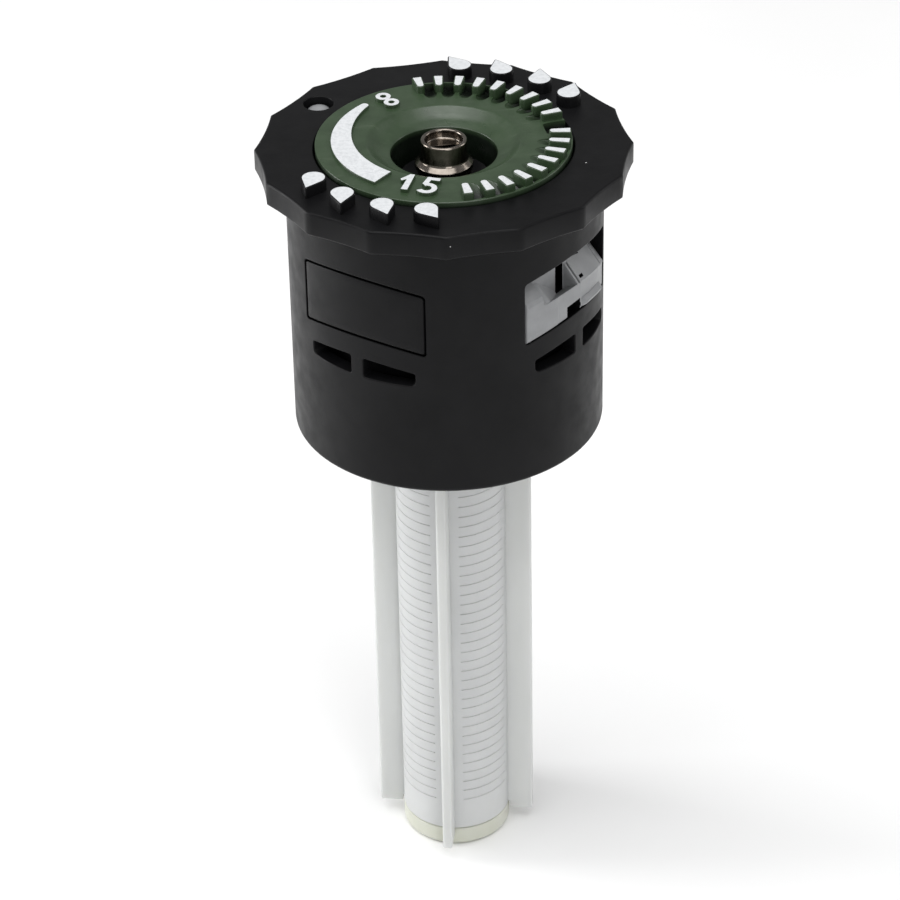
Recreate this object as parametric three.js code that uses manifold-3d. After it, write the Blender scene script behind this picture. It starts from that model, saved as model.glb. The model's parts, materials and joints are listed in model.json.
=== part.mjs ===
// Rotating multi-stream nozzle for a pop-up sprinkler, with its filter screen.
// Millimetres, +Z up, origin at the centre of the filter's foot.
// Azimuths are in degrees, measured from -Y towards +X.
import * as THREE from 'three';
import { mergeVertices } from 'three/addons/utils/BufferGeometryUtils.js';
import Module from 'manifold-3d';

const wasm = await Module();
wasm.setup();

// ---------------------------------------------------------------- dimensions

const GAP = 0.15;                  // between fixed neighbours
const RUN = 0.1;                   // radial running clearance
const EPS = 0.5;                   // how far a cutter runs past a face
const FINE = 40;                   // sides of the large round parts
const COARSE = 24;                 // sides of the inner round parts
const SMALL = 12;                  // sides of pins and small bores

// outside of the head
const FLANGE_TOP = 69.3;
const FLANGE_THICK = 2.1;
const FLANGE_R = 15.5;             // across the points of the scalloped edge
const SCALLOPS = 16;
const SCALLOP_DIP = 0.17;          // hollow of each edge below its chord
const BODY_R = 13.1;
const BODY_WALL = 1.2;
const BODY_BOTTOM = 43.9;
const BODY_IN_R = BODY_R - BODY_WALL;
const CAP_SPIGOT_BOTTOM = 64.7;    // the cap's ring inside the body

// four windows round the body, each over a pair of slots
const WINDOW_AZ = { left: -34.5, right: 55.5, rear: 145.5, far: 235.5 };
const WINDOW_HALF = 26.7;          // half angle, degrees
const WINDOW_TOP = 63.35;          // on the body's surface, at the middle
const WINDOW_HEIGHT = 5.6;
const STREAM_RISE = Math.tan(THREE.MathUtils.degToRad(31));
const SLOT_TOP = 55.8;
const SLOT_HEIGHT = 1.75;
const SLOT_FROM = 2.6;             // degrees either side of the window's middle
const SLOT_TO = 22.7;

// dial
const DIAL_R = 10.53;
const DIAL_TOP = FLANGE_TOP + 0.39;
const DIAL_BOTTOM = 66.5;
const DIAL_HUB_R = 8.0;
const DIAL_HUB_BOTTOM = 64.5;
const BOWL_R = 6.23;
const WELL_R = 4.38;
const WELL_TOP = FLANGE_TOP - 0.68;
const RIB_TOP = FLANGE_TOP + 1.05;
const RIB_IN = 8.85;
const RIB_OUT = 10.45;
const RIB_WIDE = 0.93;
const RIB_NARROW = 0.72;
const RIB_PITCH = 10;
const RIBS_IN_GROUP = 9;
const RIB_GROUP_AZ = [50.7, 151.8];
const POCKET_DEPTH = 0.75;
const CRESCENT = { from: -37, to: -136, out: 9.25, inStart: 7.05, inEnd: 8.6, rise: 0.25 };

// raised marks and index pin on the flange
const MARK_AZ = [-55, -39, -22, -5.5];
const MARK_R = 12.95;
const MARK_LENGTH = 3.0;
const MARK_RISE = 1.0;
const PIN_AZ = -127;
const PIN_CENTRE_R = 13.0;
const PIN_HOLE_R = 1.26;
const PIN_R = 0.98;

// throttle screw and rod
const SCREW_TOP = FLANGE_TOP + 0.58;
const SCREW_HEAD_R = 1.9;
const SCREW_RECESS_R = 1.55;
const SCREW_COLLAR_R = 2.42;
const COLLAR_LOW = 67.1;
const COLLAR_HIGH = 68.1;
const SHANK_R = 1.1;
const SHANK_END = 62.1;
const ROD_R = 0.8;
const SLEEVE_HEX_R = 2.42;
const SLEEVE_BOTTOM = 59.8;
const SLEEVE_TOP = 63.2;
const PLUG_R = 2.9;
const PLUG_BOTTOM = 47.5;

// threaded socket that takes the riser
const SOCKET_BOTTOM = 44.4;
const SOCKET_TOP = 49.9;
const SPIGOT_BOTTOM = 47.4;        // the ring that holds the filter
const SPIGOT_R = 5.9;
const WATERWAY_R = 3.4;
const THREAD_R = 7.94;             // 5/8 in riser thread
const THREAD_PITCH = 0.907;        // 28 turns per inch
const THREAD_TURNS = 4;
const THREAD_STEPS = 10;           // in each turn
const BASE_R = 11.5;
const BASE_TOP = 51.1;
const POCKETS = { inner: 9.1, outer: 10.7, top: 48.6, count: 6 };
const GASKET = { inner: 6.2, outer: 7.45, thick: 0.65 };
const STATOR_TOP = 52.6;
const RING_GEAR_LOW = 52.8;
const RING_GEAR_HIGH = 56.6;
const TUBE_TOP = 57.0;
const CASE_R = 11.3;
const CASE_IN_R = 10.35;
const LID_BOTTOM = 57.3;
const LID_TOP = 57.9;

// planetary gears
const MODULE = 0.5;
const SUN_TEETH = 12;
const PLANET_TEETH = 12;
const RING_TEETH = 36;
const PRESSURE = THREE.MathUtils.degToRad(25);
const BACKLASH = 0.12;
const CENTRE_DISTANCE = MODULE * (SUN_TEETH + PLANET_TEETH) / 2;
const TUBE_R = 1.4;
const TUBE_BORE_R = 1.0;
const PLANET_PIN_R = 0.6;
const STAGE = [
  { low: 52.95, high: 54.15, plateLow: 54.3, plateHigh: 54.9, sunLow: 52.7, sunHigh: 54.15 },
  { low: 55.05, high: 56.25, plateLow: 56.4, plateHigh: 57.1, sunLow: 54.9, sunHigh: 56.25 },
];

// nozzle carrier and what stands on it
const CARRIER_LOW = 58.3;
const CARRIER_HIGH = 59.1;
const CARRIER_R = 11.4;
const HUB_R = 3.7;
const HUB_TOP = 66.5;
const HUB_ROOF = 65.4;
const HUB_HEX_R = 2.6;
const SHUTTER_R = 7.7;
const SHUTTER_IN_R = 6.9;
const SHUTTER_LOW = 59.3;
const SHUTTER_HIGH = 64.1;
const SHUTTER_PORT = { low: 60.3, high: 62.8, half: 20 };
const KEY_TOP = 65.6;              // the shutter's keys in the dial's hub
const KEY_R = SHUTTER_R - 0.4;
const INSERT_IN_R = 8.1;
const INSERT_LOW = 59.3;
const INSERT_HIGH = 64.3;
const FILLING_IN_R = BODY_IN_R - 0.3;

// filter screen
const FILTER_R = 4.8;
const FILTER_WALL = 0.6;
const FILTER_FOOT = 1.9;
const FILTER_TOP = 49.5;
const FIN_R = 7.0;
const FIN_THICK = 0.85;
const FIN_BOTTOM = 1.37;
const FIN_TOP = 47.1;
const FIN_AZ = -7.7;
const SLIT_LEVELS = 8;
const SLIT_FIRST = 5.5;
const SLIT_PITCH = 5.1;
const SLIT_HEIGHT = 1.8;
const SLIT_WIDTH = 5.2;

// ---------------------------------------------------------------- materials

const plastic = (color, roughness) => new THREE.MeshStandardMaterial({ color, roughness, metalness: 0 });
const metal = (color, roughness) => new THREE.MeshStandardMaterial({ color, roughness, metalness: 1 });
const BLACK = plastic(0x1b1b1d, 0.5);
const GREEN = plastic(0x2f4a30, 0.6);
const GREY = plastic(0x9ea2a6, 0.5);
const ACETAL = plastic(0xd8d4c6, 0.45);
const FILTER_WHITE = plastic(0xe6e6e4, 0.5);
const FILTER_CREAM = plastic(0xdcdac4, 0.5);
const STEEL = metal(0xb8b4ae, 0.25);
const RUBBER = plastic(0x121212, 0.85);

// ---------------------------------------------------------------- geometry helpers

const radians = THREE.MathUtils.degToRad;

// Direction of an azimuth as an angle from +X.
const bearing = (azimuth) => radians(azimuth - 90);

// Revolves a profile of [radius, height] points about Z. It runs outwards, up and back in.
function turned(profile, sides) {
  const points = profile.map(([r, z]) => new THREE.Vector2(r, z));
  return new THREE.LatheGeometry(points, sides).rotateX(Math.PI / 2);
}

function ring(inner, outer, low, high, sides) {
  return turned([[inner, low], [outer, low], [outer, high], [inner, high], [inner, low]], sides);
}

function disc(radius, low, high, sides) {
  return turned([[0, low], [radius, low], [radius, high], [0, high]], sides);
}

function block(length, width, low, high) {
  return new THREE.BoxGeometry(length, width, high - low).translate(0, 0, (low + high) / 2);
}

// Raises a flat outline in XY from one height to another.
function raised(shape, low, high, curveSegments = 8) {
  const options = { depth: high - low, bevelEnabled: false, curveSegments };
  return new THREE.ExtrudeGeometry(shape, options).translate(0, 0, low);
}

function circleHole(x, y, radius) {
  return new THREE.Path().absarc(x, y, radius, 0, 2 * Math.PI, true);
}

function moved(geometry, distance, azimuth, height = 0) {
  const angle = bearing(azimuth);
  return geometry.translate(distance * Math.cos(angle), distance * Math.sin(angle), height);
}

function toSolid(geometry) {
  const bare = geometry.clone();
  bare.deleteAttribute('normal');
  bare.deleteAttribute('uv');
  const merged = mergeVertices(bare);
  return new wasm.Manifold(new wasm.Mesh({
    numProp: 3,
    vertProperties: new Float32Array(merged.attributes.position.array),
    triVerts: new Uint32Array(merged.index.array),
  }));
}

function toGeometry(solid) {
  const mesh = solid.getMesh();
  const geometry = new THREE.BufferGeometry();
  geometry.setAttribute('position', new THREE.BufferAttribute(mesh.vertProperties, 3));
  geometry.setIndex(new THREE.BufferAttribute(mesh.triVerts, 1));
  geometry.computeVertexNormals();
  return geometry;
}

function joined(geometries) {
  return geometries.map(toSolid).reduce((whole, next) => whole.add(next));
}

// Joins the first list and takes the second away from it.
function carved(added, removed) {
  const cutters = removed.map(toSolid);
  return toGeometry(cutters.reduce((whole, next) => whole.subtract(next), joined(added)));
}

// ---------------------------------------------------------------- windows and slots

// A sloping bar through the body's wall, whose floor and roof rise outwards with the stream.
function streamPrism(azimuth, inner, outer, low, high, halfWidth, offset = 0) {
  const at = (d, z) => new THREE.Vector2(d, z + (d - BODY_R) * STREAM_RISE);
  const shape = new THREE.Shape([at(inner, low), at(outer, low), at(outer, high), at(inner, high)]);
  const bar = new THREE.ExtrudeGeometry(shape, { depth: 2 * halfWidth, bevelEnabled: false });
  bar.translate(0, 0, -halfWidth - offset);
  return bar.rotateX(Math.PI / 2).rotateZ(bearing(azimuth));
}

const WINDOW_HALF_WIDTH = BODY_R * Math.sin(radians(WINDOW_HALF));
const WINDOW_LOW = WINDOW_TOP - WINDOW_HEIGHT;

// Shrinks the window's outline by a margin on every side.
function windowPrism(azimuth, inner, outer, margin) {
  return streamPrism(azimuth, inner, outer, WINDOW_LOW + margin, WINDOW_TOP - margin,
    WINDOW_HALF_WIDTH - margin);
}

// One slot of a pair: a wedge between two azimuths, its roof sloping with the stream.
function slotCutter(azimuth, side) {
  const near = side * SLOT_FROM;
  const far = side * SLOT_TO;
  const low = SLOT_TOP - SLOT_HEIGHT;
  const reach = BODY_R + EPS;
  const inner = BODY_IN_R - EPS;
  const outline = [[near, inner], [near, reach], [far, reach], [far, inner]];
  const points = outline.map(([turn, r]) => {
    const angle = bearing(azimuth + turn);
    return new THREE.Vector2(r * Math.cos(angle), r * Math.sin(angle));
  });
  const wedge = raised(new THREE.Shape(side > 0 ? points : points.reverse()), low, SLOT_TOP + EPS);
  const roof = streamPrism(azimuth, inner - 3, reach + 1, low - 3, SLOT_TOP, WINDOW_HALF_WIDTH);
  return toGeometry(toSolid(wedge).intersect(toSolid(roof)));
}

// ---------------------------------------------------------------- head

function flangeOutline() {
  const outline = new THREE.Shape();
  const step = 2 * Math.PI / SCALLOPS;
  const half = FLANGE_R * Math.sin(step / 2);
  const arcR = (half * half + SCALLOP_DIP * SCALLOP_DIP) / (2 * SCALLOP_DIP);
  const arcCentre = FLANGE_R * Math.cos(step / 2) - SCALLOP_DIP + arcR;
  const arcHalf = Math.asin(half / arcR);
  for (let i = 0; i < SCALLOPS; i += 1) {
    const middle = bearing(0) + (i + 0.5) * step;
    const x = arcCentre * Math.cos(middle);
    const y = arcCentre * Math.sin(middle);
    outline.absarc(x, y, arcR, middle + Math.PI + arcHalf, middle + Math.PI - arcHalf, true);
  }
  return outline;
}

// A drop with a round end and a point, lying along X.
function dropOutline(length) {
  const round = length * 0.34;
  const tip = length - round;
  const tangent = Math.acos(round / tip);
  const shape = new THREE.Shape();
  shape.moveTo(tip, 0);
  shape.absarc(0, 0, round, tangent, 2 * Math.PI - tangent, false);
  shape.closePath();
  return shape;
}

function flangeMark(azimuth) {
  const mark = raised(dropOutline(MARK_LENGTH), FLANGE_TOP - EPS, FLANGE_TOP + MARK_RISE, 5);
  mark.translate(-MARK_LENGTH * 0.16, 0, 0).rotateZ(bearing(azimuth) + Math.PI / 5);
  return moved(mark, MARK_R, azimuth);
}

function topCap() {
  const flange = raised(flangeOutline(), FLANGE_TOP - FLANGE_THICK, FLANGE_TOP, 4);
  const spigot = disc(BODY_IN_R - GAP, CAP_SPIGOT_BOTTOM, FLANGE_TOP - 1, FINE);
  const marks = [0, 180].flatMap((turn) => MARK_AZ.map((azimuth) => flangeMark(azimuth + turn)));
  const dialWell = disc(DIAL_R + GAP, DIAL_BOTTOM - 0.3, FLANGE_TOP + 2, FINE);
  const hubHole = disc(DIAL_HUB_R + 0.3, CAP_SPIGOT_BOTTOM - EPS, FLANGE_TOP, FINE);
  const pinHole = moved(disc(PIN_HOLE_R, FLANGE_TOP - 1.6, FLANGE_TOP + EPS, SMALL), PIN_CENTRE_R, PIN_AZ);
  return carved([flange, spigot, ...marks], [dialWell, hubHole, pinHole]);
}

function headHousing() {
  const chamfer = 0.35;
  const top = FLANGE_TOP - FLANGE_THICK - GAP;
  const shell = turned([
    [BODY_IN_R, BODY_BOTTOM], [BODY_R - chamfer, BODY_BOTTOM], [BODY_R, BODY_BOTTOM + chamfer],
    [BODY_R, top], [BODY_IN_R, top], [BODY_IN_R, BODY_BOTTOM],
  ], FINE);
  const cutters = Object.values(WINDOW_AZ).flatMap((azimuth) => [
    windowPrism(azimuth, BODY_IN_R - 3, BODY_R + 2, 0),
    slotCutter(azimuth, 1),
    slotCutter(azimuth, -1),
  ]);
  return carved([shell], cutters);
}

// The part of a window's filling that passes through the body's wall.
function windowFilling(azimuth, inner, outer, margin) {
  const prism = toSolid(windowPrism(azimuth, inner - 3, outer + 2, margin));
  return prism.intersect(toSolid(ring(inner, outer, WINDOW_LOW - 5, WINDOW_TOP + 3, FINE)));
}

// A block behind the window, held between the carrier and the cap.
function insertBlock(azimuth, inner, outer) {
  const sector = toSolid(ring(inner, outer, INSERT_LOW, INSERT_HIGH, FINE));
  const bar = block(outer + 2, 2 * WINDOW_HALF_WIDTH - 1.6, INSERT_LOW - 1, INSERT_HIGH + 1);
  bar.translate(outer / 2 + 1, 0, 0).rotateZ(bearing(azimuth));
  return sector.intersect(toSolid(bar));
}

function blankPlate(azimuth) {
  const front = windowFilling(azimuth, FILLING_IN_R, BODY_R - 0.02, GAP);
  return toGeometry(front.add(insertBlock(azimuth, BODY_IN_R - 2, BODY_IN_R - 0.2)));
}

// Stream channels of a nozzle insert: [offset across, half width, low, high, inner radius].
const CHANNELS = [
  [-3.05, 0.55, WINDOW_LOW + 2.9, WINDOW_TOP + 0.2, INSERT_IN_R - 1],
  [-1.95, 0.55, WINDOW_LOW + 2.9, WINDOW_TOP + 0.2, BODY_R - 1.2],
  [4.3, 0.7, WINDOW_LOW + 3.6, WINDOW_TOP + 0.2, INSERT_IN_R - 1],
  [1.6, 0.5, WINDOW_LOW + 2.2, WINDOW_LOW + 3.2, INSERT_IN_R - 1],
  [-1.2, 0.45, WINDOW_LOW - 0.2, WINDOW_LOW + 1.1, BODY_R - 1.6],
];

function nozzleInsert(azimuth) {
  const front = windowFilling(azimuth, FILLING_IN_R, BODY_R - 0.1, GAP);
  const whole = front.add(insertBlock(azimuth, INSERT_IN_R, BODY_IN_R - 0.2));
  const cut = (solid, [offset, half, low, high, inner]) => solid.subtract(
    toSolid(streamPrism(azimuth, inner, BODY_R + 2, low, high, half, offset)));
  return toGeometry(CHANNELS.reduce(cut, whole));
}

function indexPin() {
  const low = FLANGE_TOP - 1.4;
  const shoulder = FLANGE_TOP - 0.75;
  return turned([
    [0, low], [PIN_R, low], [PIN_R, shoulder], [0.6, shoulder + 0.32], [0, shoulder + 0.42],
  ], SMALL);
}

function hexagon(radius, low, high) {
  const prism = new THREE.CylinderGeometry(radius, radius, high - low, 6);
  return prism.rotateX(Math.PI / 2).translate(0, 0, (low + high) / 2);
}

function nozzleCarrier() {
  const plate = disc(CARRIER_R, CARRIER_LOW, CARRIER_HIGH, FINE);
  const hub = disc(HUB_R, CARRIER_HIGH - EPS, HUB_TOP, COARSE);
  const flowHoles = [0, 60, 120, 180, 240, 300].map(
    (azimuth) => moved(disc(0.9, CARRIER_LOW - EPS, CARRIER_HIGH + EPS, SMALL), 5.3, azimuth));
  const hexBore = hexagon(HUB_HEX_R, CARRIER_LOW - EPS, HUB_ROOF);
  const screwHole = disc(SHANK_R + RUN, HUB_ROOF - EPS, HUB_TOP + EPS, SMALL);
  return carved([plate, hub], [...flowHoles, hexBore, screwHole]);
}

function planetPins(low, high) {
  return planetPlaces().map(([x, y]) => disc(PLANET_PIN_R, low, high, SMALL).translate(x, y, 0));
}

function outputCarrier() {
  const { plateLow, plateHigh, low } = STAGE[1];
  const plate = disc(CENTRE_DISTANCE + 1.6, plateLow, plateHigh, COARSE);
  const shaft = hexagon(SLEEVE_HEX_R, plateHigh - 0.2, SLEEVE_BOTTOM - 0.2);
  const pins = planetPins(low, plateLow + 0.2);
  return carved([plate, shaft, ...pins], [disc(TUBE_R + RUN, low, SLEEVE_BOTTOM, SMALL)]);
}

// ---------------------------------------------------------------- dial

function annularSector(inner, outer, from, to, steps) {
  const at = (r, azimuth) => {
    const angle = bearing(azimuth);
    return new THREE.Vector2(r * Math.cos(angle), r * Math.sin(angle));
  };
  const radius = (bound, t) => (typeof bound === 'function' ? bound(t) : bound);
  const ts = Array.from({ length: steps + 1 }, (_, i) => i / steps);
  const outerSide = ts.map((t) => at(radius(outer, t), from + (to - from) * t));
  const innerSide = ts.map((t) => at(radius(inner, t), from + (to - from) * t)).reverse();
  return new THREE.Shape([...outerSide, ...innerSide]);
}

// One grip rib along a radius: square outside, round inside.
function gripRib(azimuth) {
  const shape = new THREE.Shape();
  shape.moveTo(RIB_OUT, -RIB_WIDE / 2);
  shape.lineTo(RIB_OUT, RIB_WIDE / 2);
  const round = RIB_NARROW / 2;
  shape.absarc(RIB_IN + round, 0, round, Math.PI / 2, 3 * Math.PI / 2, false);
  return raised(shape, DIAL_TOP - EPS, RIB_TOP, 3).rotateZ(bearing(azimuth));
}

function ribAzimuths() {
  const first = -(RIBS_IN_GROUP - 1) / 2;
  return RIB_GROUP_AZ.flatMap((middle) => Array.from({ length: RIBS_IN_GROUP },
    (_, i) => middle + (first + i) * RIB_PITCH));
}

// The pocket that follows each rib, so that a finger finds the edge.
function gripPocket(azimuth) {
  const shape = annularSector(RIB_IN - 0.1, DIAL_R + EPS, azimuth + 3.2, azimuth + RIB_PITCH - 3.2, 1);
  return raised(shape, DIAL_TOP - POCKET_DEPTH, DIAL_TOP + EPS);
}

function crescent() {
  const { from, to, out, inStart, inEnd, rise } = CRESCENT;
  const inner = (t) => inStart + (inEnd - inStart) * t ** 2.2;
  return raised(annularSector(inner, out, from, to, 14), DIAL_TOP - EPS, DIAL_TOP + rise);
}

function radiusDial() {
  const body = turned([
    [WELL_R, DIAL_HUB_BOTTOM], [DIAL_HUB_R, DIAL_HUB_BOTTOM], [DIAL_HUB_R, DIAL_BOTTOM],
    [DIAL_R, DIAL_BOTTOM], [DIAL_R, DIAL_TOP], [BOWL_R, DIAL_TOP], [WELL_R, WELL_TOP],
    [WELL_R, DIAL_HUB_BOTTOM],
  ], FINE);
  const ribs = ribAzimuths();
  const groupEnds = [RIBS_IN_GROUP - 1, 2 * RIBS_IN_GROUP - 1];
  const pockets = ribs.filter((_, i) => !groupEnds.includes(i)).map(gripPocket);
  const notch = raised(annularSector(RIB_IN - 0.7, DIAL_R + EPS, 95, 107.5, 2),
    DIAL_TOP - POCKET_DEPTH, DIAL_TOP + EPS);
  const keySlots = [0, 180].map(
    (azimuth) => moved(block(1.4, 2.0, DIAL_HUB_BOTTOM - EPS, KEY_TOP + 0.4), KEY_R, azimuth));
  const sealGroove = ring(9.25, 10.15, DIAL_BOTTOM - EPS, DIAL_BOTTOM + 0.75, FINE);
  return carved([body, crescent(), ...ribs.map(gripRib)], [...pockets, notch, ...keySlots, sealGroove]);
}

function flowShutter() {
  const sleeve = ring(SHUTTER_IN_R, SHUTTER_R, SHUTTER_LOW, SHUTTER_HIGH, FINE);
  const keys = [0, 180].map(
    (azimuth) => moved(block(0.7, 1.3, SHUTTER_HIGH - 0.3, KEY_TOP), KEY_R, azimuth));
  const ports = Object.values(WINDOW_AZ).map((azimuth) => {
    const { low, high, half } = SHUTTER_PORT;
    const shape = annularSector(SHUTTER_IN_R - 1, SHUTTER_R + 1, azimuth - half, azimuth + half, 4);
    return raised(shape, low, high);
  });
  return carved([sleeve, ...keys], ports);
}

// A rubber ring with a six-sided section.
function sealRing(centreR, sectionR, height) {
  const corner = (i) => {
    const angle = i * Math.PI / 3;
    return [centreR + sectionR * Math.cos(angle), height + sectionR * Math.sin(angle)];
  };
  return turned(Array.from({ length: 7 }, (_, i) => corner(i % 6)), COARSE * 1.5);
}

// ---------------------------------------------------------------- throttle

function throttleScrew() {
  const recessFloor = SCREW_TOP - 0.7;
  const body = turned([
    [0, SHANK_END], [SHANK_R, SHANK_END], [SHANK_R, COLLAR_LOW], [2.1, COLLAR_LOW],
    [SCREW_COLLAR_R, COLLAR_LOW + 0.3], [SCREW_COLLAR_R, COLLAR_HIGH - 0.35],
    [SCREW_HEAD_R + 0.15, COLLAR_HIGH], [SCREW_HEAD_R, COLLAR_HIGH + 0.15],
    [SCREW_HEAD_R, SCREW_TOP], [SCREW_RECESS_R, SCREW_TOP], [SCREW_RECESS_R, recessFloor],
    [0, recessFloor],
  ], COARSE);
  const slot = block(2 * SCREW_RECESS_R - 0.2, 0.5, recessFloor - 0.6, recessFloor + 0.1);
  slot.rotateZ(radians(8));
  return carved([body], [slot]);
}

function throttleRod() {
  const sleeve = hexagon(SLEEVE_HEX_R, SLEEVE_BOTTOM, SLEEVE_TOP);
  const rod = disc(ROD_R, PLUG_BOTTOM + 0.2, SLEEVE_BOTTOM + 0.2, SMALL);
  const plug = turned([
    [0, PLUG_BOTTOM], [2.4, PLUG_BOTTOM], [PLUG_R, PLUG_BOTTOM + 0.4], [1.5, PLUG_BOTTOM + 1.4],
    [0, PLUG_BOTTOM + 1.4],
  ], COARSE);
  return carved([sleeve, rod, plug], [disc(SHANK_R + RUN, SLEEVE_BOTTOM + 0.6, SLEEVE_TOP + EPS, SMALL)]);
}

// ---------------------------------------------------------------- base

class Helix extends THREE.Curve {
  constructor(radius, low, pitch, turns) {
    super();
    Object.assign(this, { radius, low, pitch, turns });
  }

  getPoint(t, target = new THREE.Vector3()) {
    const angle = 2 * Math.PI * this.turns * t;
    return target.set(this.radius * Math.cos(angle), this.radius * Math.sin(angle),
      this.low + this.pitch * this.turns * t);
  }
}

function threadRidge() {
  const corners = [0, 1, 2].map((i) => {
    const angle = i * 2 * Math.PI / 3;
    return new THREE.Vector2(0.34 * Math.cos(angle), 0.34 * Math.sin(angle));
  });
  const section = new THREE.Shape(corners);
  const path = new Helix(THREAD_R + 0.02, SOCKET_BOTTOM + 0.9, THREAD_PITCH, THREAD_TURNS);
  const steps = THREAD_TURNS * THREAD_STEPS;
  return new THREE.ExtrudeGeometry(section, { extrudePath: path, steps });
}

function inletBase() {
  const { inner, outer, top, count } = POCKETS;
  const step = 360 / count;
  const body = turned([
    [THREAD_R, SOCKET_BOTTOM], [BASE_R, SOCKET_BOTTOM], [BASE_R, BASE_TOP], [WATERWAY_R, BASE_TOP],
    [WATERWAY_R, SOCKET_TOP], [FILTER_R + GAP, SOCKET_TOP], [FILTER_R + GAP, SPIGOT_BOTTOM],
    [SPIGOT_R, SPIGOT_BOTTOM], [SPIGOT_R, SOCKET_TOP], [THREAD_R, SOCKET_TOP],
    [THREAD_R, SOCKET_BOTTOM],
  ], FINE);
  const pockets = Array.from({ length: count }, (_, i) => raised(
    annularSector(inner, outer, i * step + 5, (i + 1) * step - 5, 4), SOCKET_BOTTOM - EPS, top));
  return carved([body, threadRidge()], pockets);
}

function riserGasket() {
  const top = SOCKET_TOP - 0.1;
  return ring(GASKET.inner, GASKET.outer, top - GASKET.thick, top, COARSE);
}

function throttleSeat() {
  return ring(2.4, WATERWAY_R - GAP, SOCKET_TOP + 0.05, BASE_TOP - 0.2, COARSE);
}

function gearCase() {
  const low = BASE_TOP + GAP;
  const profile = ring(CASE_IN_R, CASE_R, low, LID_TOP, FINE);
  const ports = [20, 140, 260].map(
    (azimuth) => moved(disc(0.7, low - EPS, low + 0.8, SMALL), 10.6, azimuth));
  return carved([profile], ports);
}

function caseLid() {
  const plate = disc(CASE_IN_R - GAP, LID_BOTTOM, LID_TOP, FINE);
  const flowHoles = [0, 60, 120, 180, 240, 300].map(
    (azimuth) => moved(disc(0.9, LID_BOTTOM - EPS, LID_TOP + EPS, SMALL), 8.4, azimuth));
  return carved([plate], [disc(SLEEVE_HEX_R + RUN, LID_BOTTOM - EPS, LID_TOP + EPS, COARSE), ...flowHoles]);
}

function stator() {
  const outer = 9.4;
  const inner = 5.1;
  const vanes = 10;
  const step = 2 * Math.PI / vanes;
  const shape = new THREE.Shape();
  shape.absarc(0, 0, outer, 0, 2 * Math.PI, false);
  const jet = (i) => {
    const at = (r, turn) => new THREE.Vector2(r * Math.cos(i * step + turn), r * Math.sin(i * step + turn));
    return [at(inner, 0), at(8.0, 0.42), at(8.2, 0.25), at(inner, -0.25)];
  };
  const outline = Array.from({ length: vanes }, (_, i) => jet(vanes - i)).flatMap((points) => points);
  shape.holes.push(new THREE.Path(outline));
  return raised(shape, BASE_TOP + GAP, STATOR_TOP, 12);
}

// ---------------------------------------------------------------- gears

const involute = (angle) => Math.tan(angle) - angle;

// Half of a tooth's angle at a radius.
function toothHalf(teeth, radius, slack) {
  const pitchR = MODULE * teeth / 2;
  const baseR = pitchR * Math.cos(PRESSURE);
  const here = Math.acos(Math.min(1, baseR / radius));
  return Math.PI / (2 * teeth) + slack / (2 * pitchR) + involute(PRESSURE) - involute(here);
}

function gearOutline(teeth, rootR, tipR, slack) {
  const flank = [rootR, MODULE * teeth / 2, tipR];
  const points = [];
  for (let i = 0; i < teeth; i += 1) {
    const middle = 2 * Math.PI * i / teeth;
    const side = (r, sign) => {
      const angle = middle + sign * toothHalf(teeth, r, slack);
      points.push(new THREE.Vector2(r * Math.cos(angle), r * Math.sin(angle)));
    };
    flank.forEach((r) => side(r, -1));
    [...flank].reverse().forEach((r) => side(r, 1));
  }
  return points;
}

function outerGear(teeth, boreR, low, high) {
  const pitchR = MODULE * teeth / 2;
  const outline = gearOutline(teeth, pitchR - 1.15 * MODULE, pitchR + 0.9 * MODULE, -BACKLASH);
  const shape = new THREE.Shape(outline);
  shape.holes.push(circleHole(0, 0, boreR));
  return raised(shape, low, high, 6);
}

function ringGear() {
  const pitchR = MODULE * RING_TEETH / 2;
  const shape = new THREE.Shape();
  shape.absarc(0, 0, CASE_IN_R - GAP, 0, 2 * Math.PI, false);
  const teeth = gearOutline(RING_TEETH, pitchR - 0.9 * MODULE, pitchR + 1.15 * MODULE, BACKLASH);
  shape.holes.push(new THREE.Path(teeth.reverse()));
  return raised(shape, RING_GEAR_LOW, RING_GEAR_HIGH, FINE / 2);
}

function planetPlaces() {
  return [0, 1, 2].map((k) => {
    const angle = k * 2 * Math.PI / 3;
    return [CENTRE_DISTANCE * Math.cos(angle), CENTRE_DISTANCE * Math.sin(angle), angle];
  });
}

function planetGear(stage) {
  return outerGear(PLANET_TEETH, PLANET_PIN_R + RUN, stage.low, stage.high);
}

// A sun gear has a gap, not a tooth, towards each planet.
function sunGear(stage) {
  const gear = outerGear(SUN_TEETH, TUBE_R + RUN, stage.sunLow + 0.05, stage.sunHigh);
  return gear.rotateZ(Math.PI / SUN_TEETH);
}

function turbineWheel() {
  const blades = 12;
  const step = 2 * Math.PI / blades;
  const points = [];
  for (let i = 0; i < blades; i += 1) {
    const at = (r, turn) => new THREE.Vector2(r * Math.cos(i * step + turn), r * Math.sin(i * step + turn));
    points.push(at(2.9, 0), at(3.8, -0.14), at(4.75, -0.1));
    points.push(at(4.75, -0.02), at(3.9, 0.04), at(2.9, 0.22));
  }
  const shape = new THREE.Shape(points);
  shape.holes.push(circleHole(0, 0, TUBE_R + RUN));
  return raised(shape, BASE_TOP + 0.25, STATOR_TOP, 8);
}

function firstCarrier() {
  const { plateLow, plateHigh, low } = STAGE[0];
  const plate = disc(CENTRE_DISTANCE + 1.6, plateLow, plateHigh, COARSE);
  const pins = planetPins(low, plateLow + 0.2);
  return carved([plate, ...pins], [disc(TUBE_R + RUN, low, plateHigh + EPS, SMALL)]);
}

// ---------------------------------------------------------------- filter

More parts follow.
